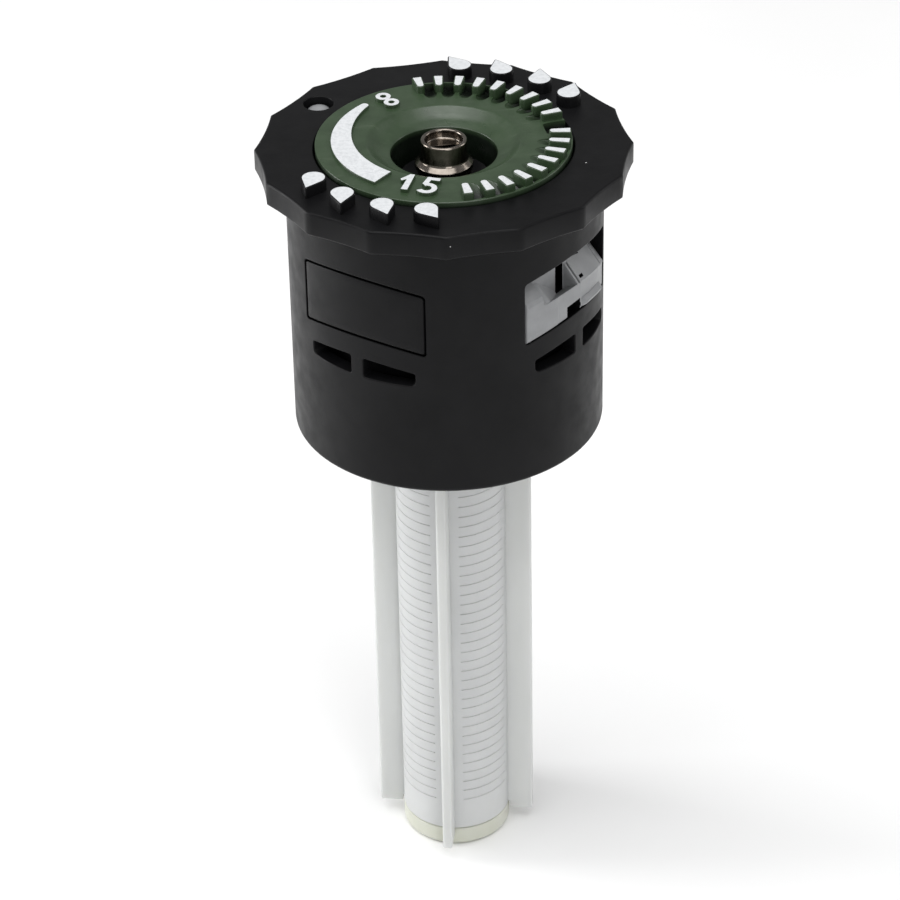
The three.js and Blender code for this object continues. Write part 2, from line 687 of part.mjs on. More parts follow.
function filterScreen() {
  const tube = ring(FILTER_R - FILTER_WALL, FILTER_R, FILTER_FOOT + GAP, FILTER_TOP, COARSE);
  const fins = [0, 90, 180, 270].map((turn) => {
    const fin = block(FIN_R - FILTER_R + 0.3, FIN_THICK, FIN_BOTTOM, FIN_TOP);
    return fin.translate((FIN_R + FILTER_R - 0.3) / 2, 0, 0).rotateZ(bearing(FIN_AZ + turn));
  });
  const footClearance = disc(FILTER_R + GAP, 0, FILTER_FOOT + GAP, COARSE);
  const slits = [];
  for (let level = 0; level < SLIT_LEVELS; level += 1) {
    const low = SLIT_FIRST + level * SLIT_PITCH;
    [45, 135].forEach((turn) => {
      const slit = block(3 * FILTER_R, SLIT_WIDTH, low, low + SLIT_HEIGHT);
      slits.push(slit.rotateZ(bearing(FIN_AZ + turn)));
    });
  }
  return carved([tube, ...fins], [footClearance, ...slits]);
}

function filterFoot() {
  const plugR = FILTER_R - FILTER_WALL - GAP;
  return turned([
    [0, 0.5], [3.6, 0.5], [3.9, 0], [4.5, 0], [FILTER_R, 0.4], [FILTER_R, FILTER_FOOT],
    [plugR, FILTER_FOOT], [plugR, 3.1], [3.4, 3.1], [3.4, 1.3], [0, 1.3],
  ], COARSE);
}

// ---------------------------------------------------------------- assembly

const nozzle = new THREE.Group();

function place(parent, name, geometry, material) {
  const mesh = new THREE.Mesh(geometry, material.clone());
  mesh.name = name;
  parent.add(mesh);
  return mesh;
}

function group(parent) {
  const child = new THREE.Group();
  parent.add(child);
  return child;
}

// stationary parts
const base = group(nozzle);
place(base, 'inlet_base', inletBase(), BLACK);
place(base, 'riser_gasket', riserGasket(), RUBBER);
place(base, 'filter_screen', filterScreen(), FILTER_WHITE);
place(base, 'filter_foot', filterFoot(), FILTER_CREAM);
place(base, 'throttle_seat', throttleSeat(), GREY);
place(base, 'stator', stator(), ACETAL);
place(base, 'centre_tube', ring(TUBE_BORE_R, TUBE_R, BASE_TOP + 0.15, TUBE_TOP, SMALL), STEEL);
place(base, 'gear_case', gearCase(), BLACK);
place(base, 'ring_gear', ringGear(), ACETAL);
place(base, 'case_lid', caseLid(), BLACK);
place(base, 'base_seal', sealRing(11.58, 0.2, 51.5), RUBBER);
place(base, 'thrust_washer', ring(2.7, 4.2, LID_TOP + 0.08, LID_TOP + 0.3, COARSE), ACETAL);

// turbine and first gear stage
const turbine = group(nozzle);
place(turbine, 'turbine_wheel', turbineWheel(), GREY);
place(turbine, 'sun_gear_1', sunGear(STAGE[0]), ACETAL);
const carrier = group(nozzle);
place(carrier, 'planet_carrier_1', firstCarrier(), GREY);
place(carrier, 'sun_gear_2', sunGear(STAGE[1]), ACETAL);

// planet gears of both stages
STAGE.forEach((stage, number) => {
  planetPlaces().forEach(([x, y, angle], k) => {
    const planet = place(nozzle, `planet_gear_${number + 1}${'abc'[k]}`, planetGear(stage), ACETAL);
    planet.position.set(x, y, 0);
    planet.rotation.z = angle;
  });
});

// head that turns on the base
const head = group(nozzle);
place(head, 'output_carrier', outputCarrier(), GREY);
place(head, 'nozzle_carrier', nozzleCarrier(), BLACK);
place(head, 'head_housing', headHousing(), BLACK);
place(head, 'top_cap', topCap(), BLACK);
place(head, 'blank_plate_left', blankPlate(WINDOW_AZ.left), BLACK);
place(head, 'blank_plate_rear', blankPlate(WINDOW_AZ.rear), BLACK);
place(head, 'nozzle_insert_right', nozzleInsert(WINDOW_AZ.right), GREY);
place(head, 'nozzle_insert_far', nozzleInsert(WINDOW_AZ.far), GREY);
place(head, 'index_pin', moved(indexPin(), PIN_CENTRE_R, PIN_AZ), GREY);

// dial that turns in the head
const dial = group(head);
place(dial, 'radius_dial', radiusDial(), GREEN);
place(dial, 'flow_shutter', flowShutter(), GREY);
place(dial, 'dial_seal', sealRing(9.7, 0.3, DIAL_BOTTOM + 0.25), RUBBER);

// screw and the rod that it lifts
const screw = group(head);
place(screw, 'throttle_screw', throttleScrew(), STEEL);
place(screw, 'screw_washer', ring(SHANK_R + 0.05, 2.2, 66.65, 66.95, COARSE), STEEL);
place(screw, 'screw_clip', ring(SHANK_R + 0.05, 1.9, 64.95, 65.25, SMALL), STEEL);
place(head, 'throttle_rod', throttleRod(), ACETAL);

export default nozzle;
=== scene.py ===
"""The looks of a rotating multi-stream sprinkler nozzle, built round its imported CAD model.

Lengths are millimetres until a mesh is finished, and heights start at the filter's lower end.
Azimuths are degrees from -Y towards +X.
"""
import json
import math

import bmesh
import bpy
from mathutils import Matrix, Vector
from mathutils.geometry import delaunay_2d_cdt
from mathutils.kdtree import KDTree

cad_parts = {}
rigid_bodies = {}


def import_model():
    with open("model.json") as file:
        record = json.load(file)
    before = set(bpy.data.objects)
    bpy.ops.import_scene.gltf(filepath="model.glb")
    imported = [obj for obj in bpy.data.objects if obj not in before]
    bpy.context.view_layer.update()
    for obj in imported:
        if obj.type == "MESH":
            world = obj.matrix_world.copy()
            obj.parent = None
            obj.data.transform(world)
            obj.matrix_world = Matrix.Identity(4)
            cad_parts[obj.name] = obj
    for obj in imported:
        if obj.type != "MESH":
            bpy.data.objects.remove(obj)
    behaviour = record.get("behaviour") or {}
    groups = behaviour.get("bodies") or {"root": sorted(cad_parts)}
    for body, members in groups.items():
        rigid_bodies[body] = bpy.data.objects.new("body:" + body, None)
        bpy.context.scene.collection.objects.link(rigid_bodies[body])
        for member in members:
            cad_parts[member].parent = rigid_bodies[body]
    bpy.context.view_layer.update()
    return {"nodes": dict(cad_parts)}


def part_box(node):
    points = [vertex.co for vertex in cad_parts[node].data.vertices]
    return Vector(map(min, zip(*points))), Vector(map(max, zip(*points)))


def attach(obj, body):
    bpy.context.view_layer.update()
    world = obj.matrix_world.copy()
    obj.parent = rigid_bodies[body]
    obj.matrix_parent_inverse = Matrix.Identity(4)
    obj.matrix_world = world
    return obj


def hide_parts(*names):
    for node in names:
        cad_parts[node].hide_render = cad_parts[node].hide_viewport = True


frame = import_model()

# ---- dimensions

MM = 0.001


def span(node):
    """Lowest and highest corner of a CAD node, in millimetres."""
    low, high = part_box(node)
    return low / MM, high / MM


CAP_LOW, CAP_HIGH = span("top_cap")
SHELL_LOW, SHELL_HIGH = span("head_housing")
DIAL_LOW, DIAL_HIGH = span("radius_dial")
SCREW_LOW, SCREW_HIGH = span("throttle_screw")
SCREEN_LOW, SCREEN_HIGH = span("filter_screen")
FOOT_TOP = span("filter_foot")[1].z
BASE_LOW, BASE_HIGH = span("inlet_base")
INSERT_LOW, INSERT_HIGH = span("nozzle_insert_right")

# cap and its flange
MARK_RISE = 1.0
FLANGE_TOP = CAP_HIGH.z - MARK_RISE
FLANGE_THICK = 2.1
FLANGE_LOW = FLANGE_TOP - FLANGE_THICK
FLANGE_R = -CAP_LOW.y
SCALLOPS = 16
SCALLOP_STEPS = 12
SCALLOP_DIP = 0.17
RIM_ROUND = 0.22
FLANGE_SIDES = SCALLOPS * SCALLOP_STEPS
MARK_AZ = (-55, -39, -22, -5.5)
MARK_R = 12.95
MARK_LENGTH = 3.0
MARK_TURN = 36
PIN_AZ = -127
PIN_CENTRE_R = 13.0
PIN_HOLE_R = 1.26
PIN_R = 0.98
PIN_SIDES = 40
PIN_FLOOR = FLANGE_TOP - 1.6

# shell with its windows and slots
BODY_R = SHELL_HIGH.x
BODY_IN_R = BODY_R - 1.2
SHELL_ROUND = 0.4
SHELL_SIDES = 160
SHELL_ROWS = 46
WALL_STEP = 0.5                     # length of a facet on a curved wall
WINDOW_AZ = {"left": -34.5, "right": 55.5, "rear": 145.5, "far": 235.5}
WINDOW_HALF_WIDTH = BODY_R * math.sin(math.radians(26.7))
WINDOW_TOP = FLANGE_TOP - 5.95
WINDOW_LOW = WINDOW_TOP - 5.6
STREAM_RISE = math.tan(math.radians(31))    # slope of a window's floor and roof
SLOT_TOP = FLANGE_TOP - 13.5
SLOT_LOW = SLOT_TOP - 1.75
SLOT_FROM = 2.6
SLOT_TO = 22.7
LIP = 0.1                           # rounding of the edges of openings

# dial
DIAL_R = DIAL_HIGH.x
DIAL_TOP = FLANGE_TOP + 0.39
DIAL_SHOULDER = 66.5
DIAL_HUB_R = 8.0
KEY_IN = 6.6
KEY_TOP = 66.0
DIAL_SIDES = 256
BOWL_R = 6.23
FLUTES_FROM_R = 7.2
WELL_R = 4.38
WELL_TOP = FLANGE_TOP - 0.68
RIB_TOP = DIAL_HIGH.z
RIB_IN = 8.6
RIB_OUT = 10.42
RIB_WIDE = 0.88
RIB_PITCH = 10.05
RIB_GROUP_AZ = (50.7, 151.8)
RIBS_IN_GROUP = 9
NUMERAL_ROOT = 0.3
NUMERAL_RISE = 0.3
BAND_RISE = 0.25

# screw and filter, as turned parts
TURNED_SIDES = 96
POLE_R = 0.02                       # where a turned profile stops short of the axis

# throttle screw
SCREW_R = 1.9
COLLAR_LOW = 67.1
RECESS_R = 1.55
RECESS_DEPTH = 0.78
COLLAR_R = SCREW_HIGH.x
SHANK_R = 1.1

# filter
SCREEN_R = 4.8
SCREEN_WALL = 0.6
FIN_R = 7.0
FIN_THICK = 0.85
FIN_AZ = -7.7
FIN_TOP = 47.1
SLIT_PITCH = 1.02
SLIT_HEIGHT = 0.06
SLITS = 41
SLIT_FIRST = 5.2
SCREEN_LOW_Z = 2.05
FOOT_RIM = 1.9

# nozzle insert
INSERT_BACK = 4.2
INSERT_LEAN = 0.58
CREASE = 60.33                      # height of the edge between lower and upper face
CREASE_SLOPE = -0.039
PILLAR_X = -4.25                    # the pillar left of this leans back by a lag less
PILLAR_LAG = 0.45
LIP_Z = 58.3
NOTCH_TOP = 58.85
INSERT_STEP = 0.6

# inlet base
THREAD_R = 7.94
THREAD_PITCH = 0.907
THREAD_TURNS = 4
BASE_CEILING = 49.9
SPIGOT_LOW = 47.4
POCKET_TOP = 48.6

# ---- points and outlines


def polar(radius, azimuth, height=None):
    """The point at a radius and an azimuth, flat or at a height."""
    angle = math.radians(azimuth - 90)
    x, y = radius * math.cos(angle), radius * math.sin(angle)
    return Vector((x, y)) if height is None else Vector((x, y, height))


def direction(angle):
    return Vector((math.cos(angle), math.sin(angle)))


def circle(radius, sides, centre=(0, 0), start=90):
    """A circle's points, counter-clockwise from an azimuth."""
    return [Vector(centre) + polar(radius, start + 360 * i / sides) for i in range(sides)]


def lifted(outline, height):
    return [Vector((p.x, p.y, height)) for p in outline]


def flat(height):
    return lambda p: Vector((p.x, p.y, height))


def turned_about(outline, degrees, shift=(0, 0)):
    """An outline turned about the origin and then moved."""
    angle = math.radians(degrees)
    c, s = math.cos(angle), math.sin(angle)
    return [Vector((p.x * c - p.y * s + shift[0], p.x * s + p.y * c + shift[1])) for p in outline]


def filleted(corners, steps=4, closed=True):
    """A line through corners (x, y) or (x, y, radius), with the given corners rounded."""
    line = []
    count = len(corners)
    for i, (x, y, *radius) in enumerate(corners):
        here = Vector((x, y))
        if not radius or (not closed and i in (0, count - 1)):
            line.append(here)
            continue
        before = (Vector(corners[i - 1][:2]) - here).normalized()
        after = (Vector(corners[(i + 1) % count][:2]) - here).normalized()
        half = before.angle(after) / 2
        run = radius[0] / math.tan(half)
        centre = here + (before + after).normalized() * (radius[0] / math.sin(half))
        start, end = here + before * run - centre, here + after * run - centre
        first = math.atan2(start.y, start.x)
        sweep = (math.atan2(end.y, end.x) - first + math.pi) % (2 * math.pi) - math.pi
        for k in range(steps + 1):
            line.append(centre + radius[0] * direction(first + sweep * k / steps))
    return line


def grown(loop, amount):
    """A counter-clockwise loop moved outwards by an amount."""
    moved = []
    for i, here in enumerate(loop):
        a = (here - loop[i - 1]).normalized()
        b = (loop[(i + 1) % len(loop)] - here).normalized()
        normal_a, normal_b = Vector((a.y, -a.x)), Vector((b.y, -b.x))
        moved.append(here + (normal_a + normal_b) * (amount / (1 + normal_a.dot(normal_b))))
    return moved


def rounding(size, steps=3):
    """(inset, drop) pairs of a quarter circle, from the wall to the flat."""
    angles = (math.pi / 2 * i / steps for i in range(steps + 1))
    return [(size * (1 - math.cos(a)), size * (1 - math.sin(a))) for a in angles]


def inside(point, loop):
    """Whether a point lies in a closed loop."""
    odd = False
    before = loop[-1]
    for here in loop:
        if (here.y > point.y) != (before.y > point.y):
            cross = (before.x - here.x) * (point.y - here.y) / (before.y - here.y) + here.x
            odd ^= point.x < cross
        before = here
    return odd


# ---- surfaces


class Skin:
    """The faces of one closed surface, in millimetres."""

    def __init__(self):
        self.points = []
        self.faces = []
        self.paints = []

    def add(self, points, faces, paint=0):
        start = len(self.points)
        self.points.extend(tuple(p) for p in points)
        self.faces.extend([start + i for i in face] for face in faces)
        self.paints.extend([paint] * len(faces))

    def loft(self, loops, paint=0):
        """Bands between closed loops that have the same number of points."""
        count = len(loops[0])
        for low, high in zip(loops, loops[1:]):
            faces = [(i, (i + 1) % count, count + (i + 1) % count, count + i) for i in range(count)]
            self.add([*low, *high], faces, paint)

    def turn(self, profile, sides, start=90, closed=False):
        """A profile of (radius, height) points turned about Z."""
        loops = [lifted(circle(r, sides, start=start), z) for r, z in profile]
        self.loft(loops + loops[:1] if closed else loops)

    def fill(self, loop):
        self.add(loop, [range(len(loop))])

    def bar(self, loops):
        """Bands between loops, closed at both ends."""
        self.loft(loops)
        self.fill(loops[0])
        self.fill(loops[-1])

    def patch(self, outer, holes, place, spacing=None, paint=0):
        """Triangles between an outer loop and holes, put in space by place()."""
        loops = [outer, *holes]
        points, edges = [], []
        for loop in loops:
            start, count = len(points), len(loop)
            points.extend(Vector(p[:2]) for p in loop)
            edges.extend((start + i, start + (i + 1) % count) for i in range(count))
        if spacing:
            points.extend(self.grid(outer, holes, spacing))
        found, _, triangles, *_ = delaunay_2d_cdt(points, edges, [], 1, 1e-7)
        kept = []
        for triangle in triangles:
            middle = sum((found[i] for i in triangle), Vector((0, 0))) / 3
            if not any(inside(middle, hole) for hole in holes):
                kept.append(triangle)
        self.add([place(p) for p in found], kept, paint)

    @staticmethod
    def grid(outer, holes, spacing):
        """Points between the loops, and clear of the holes' edges."""
        xs, ys = [p.x for p in outer], [p.y for p in outer]
        columns = round((max(xs) - min(xs)) / spacing)
        rows = round((max(ys) - min(ys)) / spacing)
        rims = [Vector((*p, 0)) for hole in holes for p in hole] or [Vector((1e6, 0, 0))]
        near = KDTree(len(rims))
        for i, rim in enumerate(rims):
            near.insert(rim, i)
        near.balance()
        found = []
        for i in range(1, columns):
            for j in range(1, rows):
                here = Vector((min(xs) + (max(xs) - min(xs)) * i / columns,
                               min(ys) + (max(ys) - min(ys)) * j / rows))
                clear = near.find((*here, 0))[2] > 0.55 * spacing
                if clear and inside(here, outer) and not any(inside(here, hole) for hole in holes):
                    found.append(here)
        return found

    def mesh(self, name):
        """The closed mesh, still in millimetres."""
        mesh = bpy.data.meshes.new(name)
        mesh.materials.append(BLACK)
        mesh.materials.append(PAINT)
        mesh.from_pydata(self.points, [], self.faces)
        mesh.polygons.foreach_set("material_index", self.paints)
        work = bmesh.new()
        work.from_mesh(mesh)
        bmesh.ops.remove_doubles(work, verts=work.verts, dist=2e-4)
        loose = [v for v in work.verts if not v.link_faces]
        bmesh.ops.delete(work, geom=loose, context="VERTS")
        bmesh.ops.recalc_face_normals(work, faces=work.faces)
        gaps = [e for e in work.edges if not e.is_manifold]
        if gaps:
            where = gaps[0].verts[0].co
            raise ValueError(f"{name} has {len(gaps)} open edges, one at {tuple(where)}")
        work.to_mesh(mesh)
        work.free()
        return mesh


def solid(name, build, *details):
    """The mesh that a function makes on a new skin."""
    skin = Skin()
    build(skin, *details)
    return skin.mesh(name)


def added(name, data):
    """A new object in the scene."""
    thing = bpy.data.objects.new(name, data)
    bpy.context.scene.collection.objects.link(thing)
    return thing


def combined(base, others, operation):
    """A mesh with other meshes joined to it or cut from it."""
    target = added("target", base)
    tools = bpy.data.collections.new("tools")
    bpy.context.scene.collection.children.link(tools)
    for mesh in others:
        tools.objects.link(bpy.data.objects.new("tool", mesh))
    modifier = target.modifiers.new("combine", "BOOLEAN")
    modifier.operation = operation
    modifier.operand_type = "COLLECTION"
    modifier.collection = tools
    modifier.solver = "MANIFOLD"
    graph = bpy.context.evaluated_depsgraph_get()
    result = bpy.data.meshes.new_from_object(target.evaluated_get(graph))
    for tool in list(tools.objects):
        bpy.data.objects.remove(tool)
    bpy.data.collections.remove(tools)
    bpy.data.objects.remove(target)
    return result


def rise(skin, outline, low, high, edge, paint=0, counters=()):
    """A raised shape with rounded top edges, an open base and holes, called counters."""
    for loop, sign in [(outline, 1), *((counter, -1) for counter in counters)]:
        steps = [lifted(grown(loop, -sign * inset), high - drop) for inset, drop in rounding(edge)]
        skin.loft([lifted(loop, low), *steps])
    tops = [grown(loop, edge) for loop in counters]
    skin.patch(grown(outline, -edge), tops, flat(high), paint=paint)


def post(skin, outline, low, high, edge=0.01, low_edge=0.01, paint=0, counters=()):
    """A closed raised shape, with rounded edges at both ends."""
    rise(skin, outline, low + low_edge, high, edge, paint, counters)
    for loop, sign in [(outline, 1), *((counter, -1) for counter in counters)]:
        skin.loft([lifted(grown(loop, -sign * inset), low + drop) for inset, drop in rounding(low_edge)])
    skin.patch(grown(outline, -low_edge), [grown(loop, low_edge) for loop in counters], flat(low))


def smooth_normals(mesh, radius, angle):
    """Shades level faces flat and walls of a radius round, right up to their rounded edges."""
    mesh.shade_smooth()
    mesh.set_sharp_from_angle(angle=math.radians(angle))
    normals = [Vector(n.vector) for n in mesh.corner_normals]
    for face in mesh.polygons:
        if abs(face.normal.z) > 0.9998:
            straight = Vector((0, 0, math.copysign(1, face.normal.z)))
            for corner in face.loop_indices:
                normals[corner] = straight
        elif radius:
            corners = [mesh.vertices[v].co for v in face.vertices]
            if all(abs(Vector(c[:2]).length - radius) < 0.004 for c in corners):
                for corner, place in zip(face.loop_indices, corners):
                    outwards = Vector((place.x, place.y, 0)).normalized()
                    normals[corner] = outwards if outwards.dot(face.normal) > 0 else -outwards
    mesh.normals_split_custom_set(normals)


def piece(name, mesh, body, nodes, materials, radius=None, smooth=34):
    """Makes a finished piece of a mesh, in metres, that rides on a body and stands for CAD nodes."""
    smooth_normals(mesh, radius, smooth)
    mesh.transform(Matrix.Scale(MM, 4))
    mesh.name = name
    for i, material in enumerate(materials):
        mesh.materials[i] = material
    while len(mesh.materials) > len(materials):
        mesh.materials.pop()
    thing = added(name, mesh)
    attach(thing, body)
    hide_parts(*nodes)


# ---- materials


class Finish:
    """A procedural material, whose patterns lie in the object's own space."""

    def __init__(self, name, color, roughness, metallic=0.0, **constants):
        self.material = bpy.data.materials.new(name)
        self.material.use_nodes = True
        self.material.diffuse_color = (*color, 1)
        self.nodes = self.material.node_tree.nodes
        self.links = self.material.node_tree.links
        self.shader = self.nodes["Principled BSDF"]
        self.place = self.nodes.new("ShaderNodeTexCoord").outputs["Object"]
        self.shader.inputs["Base Color"].default_value = (*color, 1)
        self.shader.inputs["Roughness"].default_value = roughness
        self.shader.inputs["Metallic"].default_value = metallic
        for key, value in constants.items():
            self.shader.inputs[key.replace("_", " ")].default_value = value
        self.relief = None

    def node(self, kind, inputs, **settings):
        """A new node, each of whose inputs is fed by a socket or holds a value."""
        made = self.nodes.new("ShaderNode" + kind)
        for key, value in settings.items():
            setattr(made, key, value)
        for key, value in inputs.items():
            if isinstance(value, bpy.types.NodeSocket):
                self.links.new(value, made.inputs[key])
            else:
                made.inputs[key].default_value = value
        return made

    def math(self, operation, first, second):
        return self.node("Math", {0: first, 1: second}, operation=operation).outputs[0]

    def noise(self, size, detail=3.0, stretch=(1, 1, 1)):
        """Soft random grain of a size in millimetres."""
        scale = [1 / (MM * size * s) for s in stretch]
        spot = self.node("Mapping", {"Vector": self.place, "Scale": scale}).outputs["Vector"]
        return self.node("TexNoise", {"Vector": spot, "Scale": 1.0, "Detail": detail}).outputs["Fac"]

    def ramp(self, source, *stops):
        """Colours or greys at positions along a value."""
        ramp = self.node("ValToRGB", {"Fac": source})
        elements = ramp.color_ramp.elements
        while len(elements) < len(stops):
            elements.new(0.5)
        for element, (position, value) in zip(elements, stops):
            element.position = position
            element.color = (value, value, value, 1) if isinstance(value, float) else (*value, 1)
        return ramp.outputs["Color"]

    def blend(self, share, first, second):
        """A colour between two, each a socket or a colour."""
        first, second = ((*v, 1) if isinstance(v, tuple) else v for v in (first, second))
        return self.node("Mix", {0: share, 6: first, 7: second}, data_type="RGBA").outputs[2]

    def color(self, source):
        self.links.new(source, self.shader.inputs["Base Color"])

    def tone(self, low, high, *grain):
        """Lets the colour wander between two tones, by a noise."""
        self.color(self.ramp(self.noise(*grain), (0.3, low), (0.7, high)))

    def sheen(self, low, high, *grain):
        """Lets the roughness wander between two values, by a noise."""
        rough = self.ramp(self.noise(*grain), (0.3, low), (0.7, high))
        self.links.new(rough, self.shader.inputs["Roughness"])

    def bump(self, depth, *grain):
        """Relief of a depth in millimetres by a noise, added to any that is there."""
        relief = self.node("Bump", {"Strength": 1.0, "Distance": depth * MM,
                                    "Height": self.noise(*grain)})
        if self.relief:
            self.links.new(self.relief, relief.inputs["Normal"])
        self.relief = relief.outputs["Normal"]
        self.links.new(self.relief, self.shader.inputs["Normal"])

    def specks(self, cell, radius, share):
        """Where small round specks lie, in that share of cells of a size in millimetres."""
        dots = self.node("TexVoronoi", {"Vector": self.place, "Scale": 1 / (MM * cell)}).outputs
        near = self.math("LESS_THAN", dots["Distance"], radius / cell)
        random = self.node("SeparateColor", {"Color": dots["Color"]}).outputs["Red"]
        return self.math("MULTIPLY", near, self.math("LESS_THAN", random, share))

    def climb(self, low, high):
        """How far a point lies from a low to a high Z in millimetres, from 0 to 1."""
        z = self.node("SeparateXYZ", {0: self.place}).outputs["Z"]
        limits = {"Value": z, "From Min": low * MM, "From Max": high * MM}
        return self.node("MapRange", limits).outputs["Result"]

    def beyond(self, radius):
        """1 outside a radius from the Z axis, and 0 inside."""
        level = self.node("VectorMath", {0: self.place, 1: (1, 1, 0)}, operation="MULTIPLY")
        length = self.node("VectorMath", {0: level.outputs[0]}, operation="LENGTH")
        return self.math("GREATER_THAN", length.outputs["Value"], radius * MM)

    def choose(self, share, first, second):
        return self.node("Mix", {0: share, 2: first, 3: second}).outputs[0]


def black_plastic():
    finish = Finish("black_plastic", (0.004, 0.004, 0.0045), 0.4, Specular_IOR_Level=0.14)
    low, high = (0.003, 0.003, 0.0035), (0.005, 0.005, 0.0056)
    tone = finish.ramp(finish.noise(5.0), (0.35, low), (0.7, high))
    finish.color(finish.blend(finish.specks(3.6, 0.075, 0.2), tone, (0.5, 0.5, 0.5)))
    finish.sheen(0.36, 0.5, 1.6, 5.0)
    finish.bump(0.004, 0.12, 2.0)
    finish.bump(0.012, 2.5, 2.0)
    return finish.material


def green_plastic():
    """Scuffed green plastic, with shade painted in as near-black in the well and in the hollows between
    the ribs.
    """
    finish = Finish("green_plastic", (0.03, 0.054, 0.025), 0.32, Specular_IOR_Level=0.5)
    low, middle, high = (0.023, 0.043, 0.019), (0.031, 0.055, 0.026), (0.040, 0.064, 0.034)
    tone = finish.ramp(finish.noise(1.7, 4.0), (0.3, low), (0.55, middle), (0.8, high))
    scuff = finish.ramp(finish.noise(0.5, 4.0, (5, 1, 1)), (0.62, 0.0), (0.75, 0.5))
    worn = finish.blend(scuff, tone, (0.06, 0.085, 0.052))
    # painted shade: the colour fades to near-black below the well's top, and below the dial's top in the
    # flutes and the notch, where shade falls
    well_painted_shade_fade = finish.climb(WELL_TOP - 0.5, WELL_TOP + 0.1)
    flute_painted_shade_fade = finish.climb(DIAL_TOP - 0.5, DIAL_TOP - 0.02)
    light = finish.choose(finish.beyond(FLUTES_FROM_R), well_painted_shade_fade, flute_painted_shade_fade)
    # painted shade: where this mask is 0, the green gives way to near-black
    finish.color(finish.blend(light, (0.004, 0.007, 0.004), worn))
    finish.sheen(0.27, 0.4, 0.9, 4.0)
    finish.bump(0.004, 0.15, 3.0)
    return finish.material


def white_paint():
    finish = Finish("white_paint", (0.6, 0.61, 0.62), 0.5)
    low, high = (0.54, 0.555, 0.57), (0.64, 0.655, 0.67)
    finish.color(finish.ramp(finish.noise(0.35, 4.0), (0.3, low), (0.6, high)))
    finish.sheen(0.4, 0.6, 0.2)
    finish.bump(0.01, 0.12, 3.0)
    return finish.material


def plain(name, color, roughness, tones, sheen, relief, metallic=0.0, **constants):
    """A material with nothing but a grain in its colour, its roughness and its surface."""
    finish = Finish(name, color, roughness, metallic, **constants)
    finish.tone(*tones)
    finish.sheen(*sheen)
    finish.bump(*relief)
    return finish.material


def filter_plastic(name, low, high):
    """Translucent polypropylene between two tones."""
    return plain(name, high, 0.5, (low, high, 4.0, 3.0, (1, 1, 2.5)), (0.36, 0.5, 1.2, 4.0),
                 (0.006, 0.4, 3.0, (1, 1, 6)), Specular_IOR_Level=0.3, Subsurface_Weight=0.4,
                 Subsurface_Scale=0.002, Subsurface_Radius=(1.0, 1.0, 0.9))


BLACK = black_plastic()
GREEN = green_plastic()
PAINT = white_paint()
GREY = plain("grey_plastic", (0.30, 0.31, 0.32), 0.42,
             tones=((0.215, 0.22, 0.226), (0.262, 0.267, 0.275), 1.2, 4.0),
             sheen=(0.34, 0.5, 0.6, 4.0), relief=(0.004, 0.14, 2.0))
ACETAL = plain("acetal_plastic", (0.7, 0.68, 0.6), 0.4,
               tones=((0.62, 0.60, 0.52), (0.74, 0.72, 0.64), 1.5, 4.0),
               sheen=(0.32, 0.46, 0.5), relief=(0.003, 0.1, 2.0),
               Subsurface_Weight=0.15, Subsurface_Scale=0.0008)
SCREEN = filter_plastic("filter_white_plastic", (0.565, 0.575, 0.57), (0.61, 0.62, 0.615))
CREAM = filter_plastic("filter_cream_plastic", (0.56, 0.57, 0.48), (0.62, 0.63, 0.56))
STEEL = plain("stainless_steel", (0.2, 0.175, 0.15), 0.14,
              tones=((0.15, 0.13, 0.11), (0.27, 0.24, 0.21), 0.8, 4.0),
              sheen=(0.09, 0.22, 0.25, 4.0, (1, 1, 4)), relief=(0.002, 0.05, 2.0, (1, 1, 8)),
              metallic=1.0)
RUBBER = plain("black_rubber", (0.012, 0.012, 0.012), 0.75,
               tones=((0.009, 0.009, 0.009), (0.018, 0.018, 0.018), 0.8, 4.0),
               sheen=(0.65, 0.85, 0.3, 4.0), relief=(0.01, 0.08, 3.0), Specular_IOR_Level=0.3)

# ---- cap


def scallop_outline(inset):
    """The flange's edge, a ring of shallow hollows that meet in points, moved in by an inset."""
    step = 2 * math.pi / SCALLOPS
    half = FLANGE_R * math.sin(step / 2)
    arc = (half * half + SCALLOP_DIP * SCALLOP_DIP) / (2 * SCALLOP_DIP)
    centre_r = FLANGE_R * math.cos(step / 2) - SCALLOP_DIP + arc
    reach = arc + inset
    across = centre_r * math.sin(step / 2)
    point_r = centre_r * math.cos(step / 2) - math.sqrt(reach * reach - across * across)
    limit = math.asin(point_r * math.sin(step / 2) / reach)
    outline = []
    for i in range(SCALLOPS):
        middle = -math.pi / 2 + (i + 0.5) * step
        for k in range(SCALLOP_STEPS):
            angle = middle + math.pi + limit * (1 - 2 * k / SCALLOP_STEPS)
            outline.append(centre_r * direction(middle) + reach * direction(angle))
    return outline


def drop_outline(azimuth):
    """A drop that marks the flange, with a round end and a point."""
    round_r = MARK_LENGTH * 0.34
    tip = MARK_LENGTH - round_r
    tangent = math.acos(round_r / tip)
    steps = 22
    angles = [tangent + (2 * math.pi - 2 * tangent) * k / steps for k in range(steps + 1)]
    outline = [round_r * direction(a) for a in angles]
    corner = filleted([tuple(outline[-1]), (tip, 0, 0.12), tuple(outline[0])], 4, closed=False)
    outline += corner[1:-1]
    outline = [p - Vector((MARK_LENGTH * 0.16, 0)) for p in outline]
    return turned_about(outline, azimuth - 90 + MARK_TURN, polar(MARK_R, azimuth))


